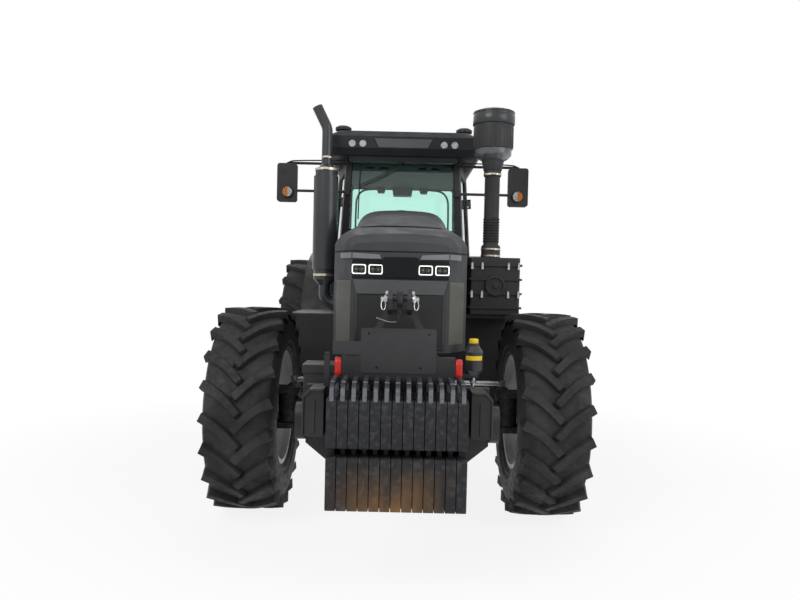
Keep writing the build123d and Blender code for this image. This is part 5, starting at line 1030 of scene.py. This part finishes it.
def cab_outside():
    """Roof lamps, panel and visor, wiper, and the mirrors' glass, lamps and rods."""
    lamp_low, lamp_high = (Vector(corner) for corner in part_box("work_lamps"))
    z = (lamp_low.z + lamp_high.z) / 2
    bodies, lenses, bowls = Maker(), Maker(), Maker()
    for side in (1, -1):
        for x in (0.350, 0.441):
            for y, way in ((lamp_low.y, 1), (lamp_high.y, -1)):
                place = (side * x, y, z)
                bodies.lathe([(way * 0.002, 0.030), (way * 0.002, 0.0348), (way * 0.028, 0.0348), (way * 0.028, 0), (way * 0.024, 0), (way * 0.012, 0.028)], place, "Y", 32)
                lenses.lathe([(way * 0.0085, 0), (way * 0.0045, 0.012), (way * 0.0045, 0.0295), (way * 0.008, 0.0295), (way * 0.0105, 0)], place, "Y", 32)
                for k in range(6):
                    a = math.radians(60 * k)
                    spot = (place[0] + 0.018 * math.cos(a), y + way * 0.010, z + 0.018 * math.sin(a))
                    bowls.lathe([(0, 0), (0, 0.0075), (way * 0.008, 0.005), (way * 0.008, 0)], spot, "Y", 12)
                bowls.lathe([(0, 0), (0, 0.008), (way * 0.008, 0.005), (way * 0.008, 0)], (place[0], y + way * 0.010, z), "Y", 12)
    bodies.piece("roof_lamp_bodies", "black_plastic", "chassis", "black_plastic", replaces=("work_lamps",))
    lenses.piece("roof_lamp_lenses", CLEAR_LENS, "chassis", "lamp")
    bowls.piece("roof_lamp_reflectors", CHROME, "chassis", "steel")
    roof_low, roof_high = (Vector(corner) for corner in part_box("cab_roof"))
    panel = Maker()
    panel.prism(((-0.25, z + 0.045), (-0.21, z - 0.03), (0.21, z - 0.03), (0.25, z + 0.045)), "Y", roof_low.y - 0.0005, roof_low.y + 0.02)
    panel.piece("roof_front_panel", CHIN_GREY, "chassis", "body_paint", bevel=0.0004)
    visor = Maker()
    visor.prism(((roof_low.y + 0.075, roof_low.z - 0.0005), (0.030, roof_low.z - 0.0005), (0.020, roof_low.z - 0.035), (roof_low.y + 0.095, roof_low.z - 0.045)), "X", -0.475, 0.475)
    visor.piece("roof_visor", "black_plastic", "chassis", "black_plastic", bevel=0.004)
    arm = Maker()
    root = on_screen(0.0, 2.665, 0.030)
    for gap in (0.0, 0.022):
        arm.tube([root, on_screen(-0.375, 2.47 - gap, 0.030)], 0.004, 8)
    arm.lathe([(0, 0), (0, 0.016), (-0.022, 0.016), (-0.028, 0.011), (-0.028, 0)], on_screen(0.0, 2.665, 0.0), "Y", 20)
    arm.tube([on_screen(-0.375, 2.665, 0.012), on_screen(-0.385, 2.45, 0.010), on_screen(-0.388, 2.17, 0.012)], 0.0055, 8)
    arm.tube([on_screen(-0.377, 2.49, 0.030), on_screen(-0.385, 2.45, 0.014)], 0.006, 8)
    arm.piece("wiper", "black_plastic", "chassis", "black_plastic")
    glass, backs, lamps, amber, bezels = Maker(), Maker(), Maker(), Maker(), Maker()
    low, high = (Vector(corner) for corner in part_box("mirrors"))
    for side in (1, -1):
        x = side * 1.0245
        z = high.z - 0.036 - 0.17
        outline = shifted(rounded(0.149, 0.312, 0.018, 4), x, z)
        glass.prism(outline, "Y", high.y - 0.0025, high.y - 0.0003)
        lamp = (side * 1.018, low.y - 0.024, z - 0.085)
        bezels.lathe([(0.002, 0), (0.002, 0.046), (-0.016, 0.050), (-0.022, 0.048), (-0.022, 0.044), (-0.004, 0.042), (-0.004, 0)], (lamp[0], lamp[1] + 0.0235, lamp[2]), "Y", 40)
        for maker, start in ((lamps, 90 if side > 0 else -90), (amber, -90 if side > 0 else 90)):
            fan = [(lamp[0] + 0.0435 * math.cos(math.radians(start + 15 * k)), lamp[2] + 0.0435 * math.sin(math.radians(start + 15 * k))) for k in range(13)]
            maker.prism(fan, "Y", lamp[1] - 0.001, lamp[1] + 0.018)
        for gap in (0.035,):
            backs.tube(smooth_line([(side * 0.50, low.y + 0.012, high.z - 0.005), (side * 0.70, low.y + 0.010, high.z - 0.006), (side * 0.93, low.y + 0.012, high.z - 0.012),
                                    (side * 1.0, low.y + 0.02, high.z - 0.02), (side * 1.02, low.y + 0.03, high.z - 0.045)]), 0.006, 10)
    glass.piece("mirror_glass", MIRROR, "chassis", "glass", bevel=0.001)
    bezels.piece("mirror_lamp_bezels", "black_plastic", "chassis", "black_plastic")
    lamps.piece("mirror_lamps_clear", CLEAR_LENS, "chassis", "lamp", bevel=0.002)
    amber.piece("mirror_lamps_amber", AMBER, "chassis", "lamp", bevel=0.002)
    backs.piece("mirror_rods", "black_plastic", "chassis", "frame_paint")


cab_outside()


def hood_dome():
    """The raised cap along the hood's top, with its V-shaped front edge."""
    start, end = HOOD_LOW.y + 0.2, HOOD_HIGH.y
    maker = Maker()
    rings = []
    steps, across = 36, 24
    for i in range(steps + 1):
        ring_top, ring_low = [], []
        for j in range(across + 1):
            t = math.sin(math.pi / 2 * (-1 + 2 * j / across))
            front = start + 0.08 + 0.12 * abs(t) ** 1.5
            y = front + (end - 0.004 - front) * (i / steps) ** 1.3
            share = (y - start) / (end - start)
            half = 0.290 + 0.092 * share
            x = half * t
            edge_z = HOOD_HIGH.z - 0.265 + share * 0.205
            peak_z = HOOD_HIGH.z - 0.253 + share * 0.253
            skin_z = peak_z - (peak_z - edge_z) * min(1.0, (x / 0.27) ** 2) - max(0.0, abs(x) - 0.27) * 0.9
            base_z = edge_z - (half - 0.27) * 0.9
            crown_z = base_z + (peak_z - base_z) * math.sqrt(max(0.0, 1 - abs(t) ** 4))
            blend = min(1.0, (y - front) / 0.35)
            rise = max(0.0, crown_z - skin_z) * blend + 0.010 * (1 - abs(t) ** 8)
            rise += 0.034 * min(1.0, (y - front) / 0.16) * math.sin(math.pi * min(1.0, share + 0.25) * 0.8) * (1 - t ** 4)
            ring_top.append((x, y, min(skin_z + rise, HOOD_HIGH.z + 0.012 - 0.03 * t * t)))
            ring_low.append((x, y, skin_z - 0.02))
        rings.append(maker.ring(ring_top + list(reversed(ring_low))))
    maker.mesh.faces.new(rings[0])
    maker.mesh.faces.new(list(reversed(rings[-1])))
    maker.skin(rings)
    maker.piece("hood_dome", HOOD_PAINT, "hood", "body_paint", sharp=25)


HOOD_PAINT = paint("hood_satin", (0.050, 0.052, 0.056), 0.5, dust=0.06)
HOOD_PAINT.node_tree.nodes["Principled BSDF"].inputs["Specular IOR Level"].default_value = 0.12
CAB_PAINT = paint("cab_satin", (0.020, 0.022, 0.025), 0.5, dust=0.05)
CAB_PAINT.node_tree.nodes["Principled BSDF"].inputs["Specular IOR Level"].default_value = 0.1
NODE_LOOK = {"hood": HOOD_PAINT, "cab_frame": CAB_PAINT, "cab_roof": CAB_PAINT, "door_left": CAB_PAINT, "door_right": CAB_PAINT}
CAD_BEVELS = {"cab_roof": 0.012, "tow_hooks": 0.008, "battery_box": 0.006, "air_cleaner": 0.004, "ballast_carrier": 0.004, "steps": 0.003,
              "blank_plate": 0.0008, "steering_console": 0.004, "gearbox_and_rear_axle": 0.006, "front_frame": 0.004, "lower_links": 0.003,
              "lift_arms": 0.003, "drawbar": 0.003, "knuckle_left": 0.004, "knuckle_right": 0.004, "engine_block": 0.006}
hood_dome()


CUSHION_VOXEL = 0.006
CLOTH_FRAMES = 20


def inflate(obj, cap, low, high):
    """Swells a remeshed pad as cloth under pressure, with each point's travel held to cap and inside a box."""
    remesh = obj.modifiers.new("voxels", "REMESH")
    remesh.mode = "VOXEL"
    remesh.voxel_size = CUSHION_VOXEL
    mesh = bpy.data.meshes.new_from_object(obj.evaluated_get(bpy.context.evaluated_depsgraph_get()))
    obj.modifiers.clear()
    obj.data = mesh
    cloth = obj.modifiers.new("pad", "CLOTH")
    cloth.settings.use_pressure = True
    cloth.settings.uniform_pressure_force = 4.0
    cloth.settings.effector_weights.gravity = 0.0
    for number in range(1, CLOTH_FRAMES + 1):
        scene.frame_set(number)
    swollen = [v.co.copy() for v in obj.evaluated_get(bpy.context.evaluated_depsgraph_get()).data.vertices]
    obj.modifiers.remove(cloth)
    scene.frame_set(1)
    for vertex, target in zip(mesh.vertices, swollen):
        travel = target - vertex.co
        if travel.length > cap:
            travel *= cap / travel.length
        vertex.co += travel
    for vertex in mesh.vertices:
        vertex.co = [min(max(v, a), b) for v, a, b in zip(vertex.co, low, high)]
    return obj


def sew(mesh, lines, depth, width):
    """Presses sewn channels into a pad, each line given by a function that measures a point's distance from it."""
    centre = sum((v.co for v in mesh.vertices), Vector()) / len(mesh.vertices)
    for vertex in mesh.vertices:
        nearest = min(line(vertex.co) for line in lines)
        pull = depth * math.exp(-(nearest / width) ** 2)
        vertex.co += (centre - vertex.co).normalized() * pull


def cushion(name, origin, along, out, size, steps, cap, lines, body, nodes_replaced=()):
    """A crowned pad: width by length by thickness, with its face towards out."""
    origin, along, out = Vector(origin), Vector(along).normalized(), Vector(out).normalized()
    side = along.cross(out)
    width, length, thickness = size
    maker = Maker()
    sections = []
    for level, scale in steps:
        outline = rounded(width * scale, length * scale, min(width, length) * 0.14 * scale, 6)
        sections.append([origin + side * a + along * b + out * (level * thickness) for a, b in outline])
    maker.loft(sections)
    bmesh.ops.recalc_face_normals(maker.mesh, faces=maker.mesh.faces)
    data = bpy.data.meshes.new(name)
    maker.mesh.to_mesh(data)
    maker.mesh.free()
    obj = bpy.data.objects.new(name, data)
    scene.collection.objects.link(obj)
    low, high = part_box("seat")
    inflate(obj, cap, [v + 0.001 for v in low], [v - 0.001 for v in high])
    sew(obj.data, lines, 0.006, 0.007)
    obj.data.materials.clear()
    obj.data.materials.append(LOOK["seat_fabric"])
    obj.data.polygons.foreach_set("use_smooth", [True] * len(obj.data.polygons))
    fine = obj.modifiers.new("fine", "SUBSURF")
    fine.levels = 1
    fine.render_levels = 1
    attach(obj, body)
    if nodes_replaced:
        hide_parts(*nodes_replaced)
    return obj


def driver_seat():
    """Padded cushion and backrest, moulded shells, armrests and a pleated pedestal in place of the CAD seat."""
    low, high = (Vector(corner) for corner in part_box("seat"))
    middle_y = 1.255
    pad_steps = ((0.0, 0.90), (0.12, 0.965), (0.42, 0.985), (0.70, 0.955), (0.86, 0.88), (0.93, 0.70))
    cushion("seat_cushion", (0, middle_y, 1.728), (0, 1, 0), (0, 0, 1), (0.455, 0.455, 0.085), pad_steps, 0.010,
            (lambda p: abs(abs(p.x) - 0.15), lambda p: abs(p.y - 1.11), lambda p: abs(p.y - 1.25)), "chassis", ("seat",))
    tilt = math.atan2(0.09, 0.625)
    cushion("seat_back", (0, 1.505, 2.085), (0, math.sin(tilt), math.cos(tilt)), (0, -math.cos(tilt), math.sin(tilt)), (0.415, 0.575, 0.085),
            [(level - 0.42, scale) for level, scale in pad_steps], 0.010,
            (lambda p: abs(abs(p.x) - 0.135), lambda p: abs(p.z - 1.93), lambda p: abs(p.z - 2.10), lambda p: abs(p.z - 2.25)), "chassis")
    shell = Maker()
    sections = []
    for k in range(9):
        z = 1.402 + 0.036 * k
        half = 0.163 - 0.022 * k / 8 - (0.012 if k % 2 else 0.0)
        sections.append([(a, b + middle_y, z) for a, b in rounded(2 * half, 2 * half, 0.04, 5)])
    shell.loft(sections)
    shell.prism(shifted(rounded(0.46, 0.44, 0.05, 5), 0, middle_y), "Z", 1.695, 1.726)
    shell.piece("seat_pedestal", "black_plastic", "chassis", "black_plastic", bevel=0.003)
    rests = Maker()
    for side in (1, -1):
        x = side * 0.2337
        rests.sweep(smooth_line([(x, 1.14, 2.020), (x, 1.17, 2.026), (x, 1.30, 2.027), (x, 1.44, 2.026), (x, 1.52, 2.022)], 4), rounded(0.043, 0.040, 0.014, 4))
        rests.sweep([(x, 1.44, 2.01), (x, 1.50, 1.93), (x, 1.51, 1.80), (x, 1.48, 1.735)], rounded(0.018, 0.036, 0.006, 3))
    rests.piece("seat_armrests", "black_plastic", "chassis", "black_plastic")


driver_seat()


def door_point(side, along, z, out):
    """A point on a door's plane: a distance from its front edge, a height and a distance outwards."""
    share = (z - 1.35) / 1.36
    front = Vector((0.565 - 0.065 * share, -0.115 + 0.15 * share))
    rear = Vector((0.715 - 0.0931 * share, 0.685))
    run = (rear - front).normalized()
    place = front + run * along + Vector((run.y, -run.x)) * out
    return (side * place.x, place.y, z)


def cab_inside():
    """Seals round the panes, door handles, a headliner with its lamps and vents, a display, rails and pedals."""
    seals = Maker()
    for half_low, half_high, z_low, z_high in ((0.478, 0.452, 2.075, 2.684),):
        line = [on_screen(-half_low, z_low), on_screen(half_low, z_low), on_screen(half_high, z_high), on_screen(-half_high, z_high), on_screen(-half_low, z_low)]
        for a, b in zip(line, line[1:]):
            seals.tube([a, b], 0.005, 8)
    seals.piece("windscreen_seal", "tyre", "chassis", "black_plastic")
    for side, hand in ((1, "left"), (-1, "right")):
        trim = Maker()
        corners = [door_point(side, 0.118, 1.475, -0.008), door_point(side, 0.70, 1.475, -0.008), door_point(side, 0.555, 2.588, -0.008), door_point(side, 0.118, 2.588, -0.008)]
        for a, b in zip(corners, corners[1:] + corners[:1]):
            trim.tube([a, b], 0.005, 8)
        trim.piece(f"door_seal_{hand}", "tyre", f"door_{hand}", "black_plastic")
        grip = Maker()
        grip.sweep(smooth_line([door_point(side, 0.085, 1.70, 0.001), door_point(side, 0.085, 1.705, 0.022), door_point(side, 0.085, 1.73, 0.028),
                                door_point(side, 0.085, 1.83, 0.028), door_point(side, 0.085, 1.855, 0.022), door_point(side, 0.085, 1.86, 0.001)], 3), rounded(0.018, 0.012, 0.004, 3))
        grip.lathe([(0, 0), (0, 0.016), (side * 0.012, 0.014), (side * 0.012, 0)], door_point(side, 0.085, 1.67, 0.001), "X", 20)
        grip.piece(f"door_handle_{hand}", "black_plastic", f"door_{hand}", "black_plastic", bevel=0.001)
    liner = Maker()
    liner.prism(((-0.45, 0.12), (0.45, 0.12), (0.55, 0.62), (0.545, 1.60), (-0.545, 1.60), (-0.55, 0.62)), "Z", 2.662, 2.708)
    liner.piece("headliner", LINER_GREY, "chassis", "black_plastic", bevel=0.006)
    fittings = Maker()
    fittings.prism(((-0.10, 2.57), (0.10, 2.57), (0.115, 2.664), (-0.115, 2.664)), "Y", 1.44, 1.58)
    for x in (-0.235, 0.235):
        fittings.prism(((x - 0.035, 2.60), (x + 0.035, 2.60), (x + 0.055, 2.664), (x - 0.055, 2.664)), "Y", 1.47, 1.56)
    for x in (-0.30, -0.18, 0.18, 0.30):
        fittings.lathe([(0, 0), (0, 0.045), (-0.012, 0.045), (-0.018, 0.036), (-0.018, 0)], (x, 0.20, 2.663), "Z", 24)
    fittings.piece("roof_console", "black_plastic", "chassis", "black_plastic", bevel=0.004)
    rails = Maker()
    for side in (1, -1):
        rails.tube(smooth_line([(side * 0.24, 1.60, 2.655), (side * 0.42, 1.60, 2.64), (side * 0.50, 1.60, 2.56), (side * 0.515, 1.60, 2.40), (side * 0.515, 1.60, 2.05)]), 0.011, 10)
    rails.piece("rear_window_rails", "black_plastic", "chassis", "black_plastic")
    screen = Maker()
    screen.prism(((0.29, 0.56), (0.44, 0.60), (0.438, 0.625), (0.288, 0.585)), "Z", 1.93, 2.13)
    screen.prism(((0.35, 0.60), (0.385, 0.61), (0.385, 0.64), (0.35, 0.63)), "Z", 1.402, 1.99)
    screen.piece("display", GLOSS_BLACK, "chassis", "black_plastic", bevel=0.003)
    pedals = Maker()
    for x in (-0.13, -0.05, 0.10):
        pedals.sweep([(x, 0.42, 1.50), (x, 0.46, 1.47)], rounded(0.055, 0.012, 0.004, 2))
        pedals.tube([(x, 0.36, 1.62), (x, 0.44, 1.49)], 0.008, 8)
    pedals.piece("pedals", "steel", "chassis", "steel")


LINER_GREY = paint("liner_grey", (0.10, 0.105, 0.11), 0.85, dust=0.0)
cab_inside()


def arc_band(side, x_low, x_high, inner, outer, start, end):
    """A band round the rear wheel's centre, as rows for a maker: its outline in (y, z) and its reach in X."""
    steps = 6
    angles = [math.radians(start + (end - start) * k / steps) for k in range(steps + 1)]
    line = [(REAR_WHEEL.y + outer * math.cos(a), REAR_WHEEL.z + outer * math.sin(a)) for a in angles]
    line += [(REAR_WHEEL.y + inner * math.cos(a), REAR_WHEEL.z + inner * math.sin(a)) for a in reversed(angles)]
    low, high = sorted((side * x_low, side * x_high))
    return line, low, high


def rear_and_sides():
    """Tail lamps, couplers, power shaft guard, step treads, tank cap and seams, filter and engine ribs."""
    red, amber, rims = Maker(), Maker(), Maker()
    for side in (1, -1):
        for maker, start, end in ((red, 26, 33), (amber, 33.3, 38)):
            line, low, high = arc_band(side, 0.80, 0.955, 1.0065, 1.028, start, end)
            maker.prism(line, "X", low, high)
        line, low, high = arc_band(side, 0.79, 0.965, 1.0058, 1.016, 24.8, 39.2)
        rims.prism(line, "X", low, high)
        line, low, high = arc_band(side, 0.974, 0.9935, 0.988, 1.0085, 6, 174)
        rims.prism(line, "X", low, high)
    red.piece("tail_lamps_red", RED_LENS, "chassis", "lamp", bevel=0.002)
    amber.piece("tail_lamps_amber", AMBER, "chassis", "lamp", bevel=0.002)
    rims.piece("fender_edges", "black_plastic", "chassis", "black_plastic", bevel=0.002)
    guard = Maker()
    arch = [(0.12 * math.cos(math.radians(a)), 0.71 + 0.12 * math.sin(math.radians(a))) for a in range(0, 181, 12)]
    inner = [(0.114 * math.cos(math.radians(a)), 0.71 + 0.114 * math.sin(math.radians(a))) for a in range(180, -1, -12)]
    guard.prism([(0.12, 0.66)] + arch + [(-0.12, 0.66), (-0.114, 0.66)] + inner + [(0.114, 0.66)], "Y", 1.8765, 2.03)
    guard.piece("power_shaft_guard", "black_plastic", "chassis", "black_plastic", bevel=0.002)
    couplers, caps = Maker(), Maker()
    for x in (-0.19, -0.13, -0.07, 0.07, 0.13, 0.19):
        for z in (0.97, 1.05):
            couplers.lathe([(0, 0), (0, 0.024), (0.012, 0.024), (0.014, 0.019), (0.034, 0.019), (0.036, 0.022), (0.05, 0.022), (0.05, 0)], (x, 1.8755, z), "Y", 20)
            caps.lathe([(0.0495, 0), (0.0495, 0.024), (0.058, 0.024), (0.063, 0.018), (0.063, 0)], (x, 1.8755, z), "Y", 20)
    couplers.piece("hydraulic_couplers", "steel", "chassis", "steel")
    caps.piece("coupler_caps", "black_plastic", "chassis", "black_plastic")
    studs = Maker()
    low, high = (Vector(corner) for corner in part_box("steps"))
    for i in range(3):
        z = low.z + 0.27 * i + 0.0295
        x_low, x_high = high.x - 0.150 - i * 0.0375, high.x - i * 0.030
        for row in range(3):
            x = x_low + (row + 0.5) * (x_high - x_low) / 3
            for k in range(9):
                studs.lathe([(0, 0), (0, 0.008), (0.003, 0.006), (0.003, 0)], (x, low.y + 0.035 + k * 0.039, z), "Z", 10)
    studs.piece("step_studs", "frame_paint", "chassis", "frame_paint")
    tank = Maker()
    low, high = (Vector(corner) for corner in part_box("fuel_tanks"))
    tank.lathe([(0, 0), (0, 0.062), (0.006, 0.064), (0.03, 0.060), (0.034, 0.054), (0.034, 0)], (high.x - 0.001, low.y + 0.13, high.z - 0.22), "X", 36)
    for k in range(12):
        a = 2 * math.pi * k / 12
        tank.lathe([(0.004, 0), (0.004, 0.006), (0.031, 0.005), (0.031, 0)], (high.x - 0.001, low.y + 0.13 + 0.060 * math.cos(a), high.z - 0.22 + 0.060 * math.sin(a)), "X", 8)
    tank.piece("tank_cap", "black_plastic", "chassis", "black_plastic")
    seams = Maker()
    for side, depth, length in ((1, 0.78, 0.44), (-1, 0.63, 0.85)):
        a, b = sorted((side * (high.x - 0.002), side * (high.x + 0.004)))
        seams.box((a, low.y + 0.07, high.z - depth / 2 - 0.004), (b, low.y + length - 0.07, high.z - depth / 2 + 0.004))
        for y in (low.y + 0.11, low.y + length - 0.13):
            seams.box((a, y, high.z - depth + 0.075), (b, y + 0.035, high.z - 0.075))
    seams.piece("tank_straps", "frame_paint", "chassis", "frame_paint", bevel=0.0015)
    block = Maker()
    for side in (1, -1):
        for k in range(7):
            y = -1.46 + 0.155 * k
            a, b = sorted((side * 0.2495, side * 0.262))
            block.prism(((y, 1.16), (y + 0.018, 1.16), (y + 0.018, 1.62), (y, 1.62)), "X", a, b)
        for z in (1.14, 1.64):
            a, b = sorted((side * 0.2495, side * 0.268))
            block.prism(((-1.50, z), (-0.42, z), (-0.42, z + 0.022), (-1.50, z + 0.022)), "X", a, b)
    block.piece("engine_ribs", "cast", "chassis", "cast", bevel=0.003)
    filters = Maker()
    for y in (-1.22, -1.05):
        filters.lathe([(0, 0), (0, 0.040), (0.006, 0.046), (0.16, 0.046), (0.166, 0.052), (0.185, 0.052), (0.19, 0.046), (0.19, 0)], (0.315, y, 1.165), "Z", 28)
        filters.box((0.262, y - 0.03, 1.30), (0.30, y + 0.03, 1.345))
    filters.piece("engine_filters", "frame_paint", "chassis", "frame_paint")


rear_and_sides()

dress_nodes()
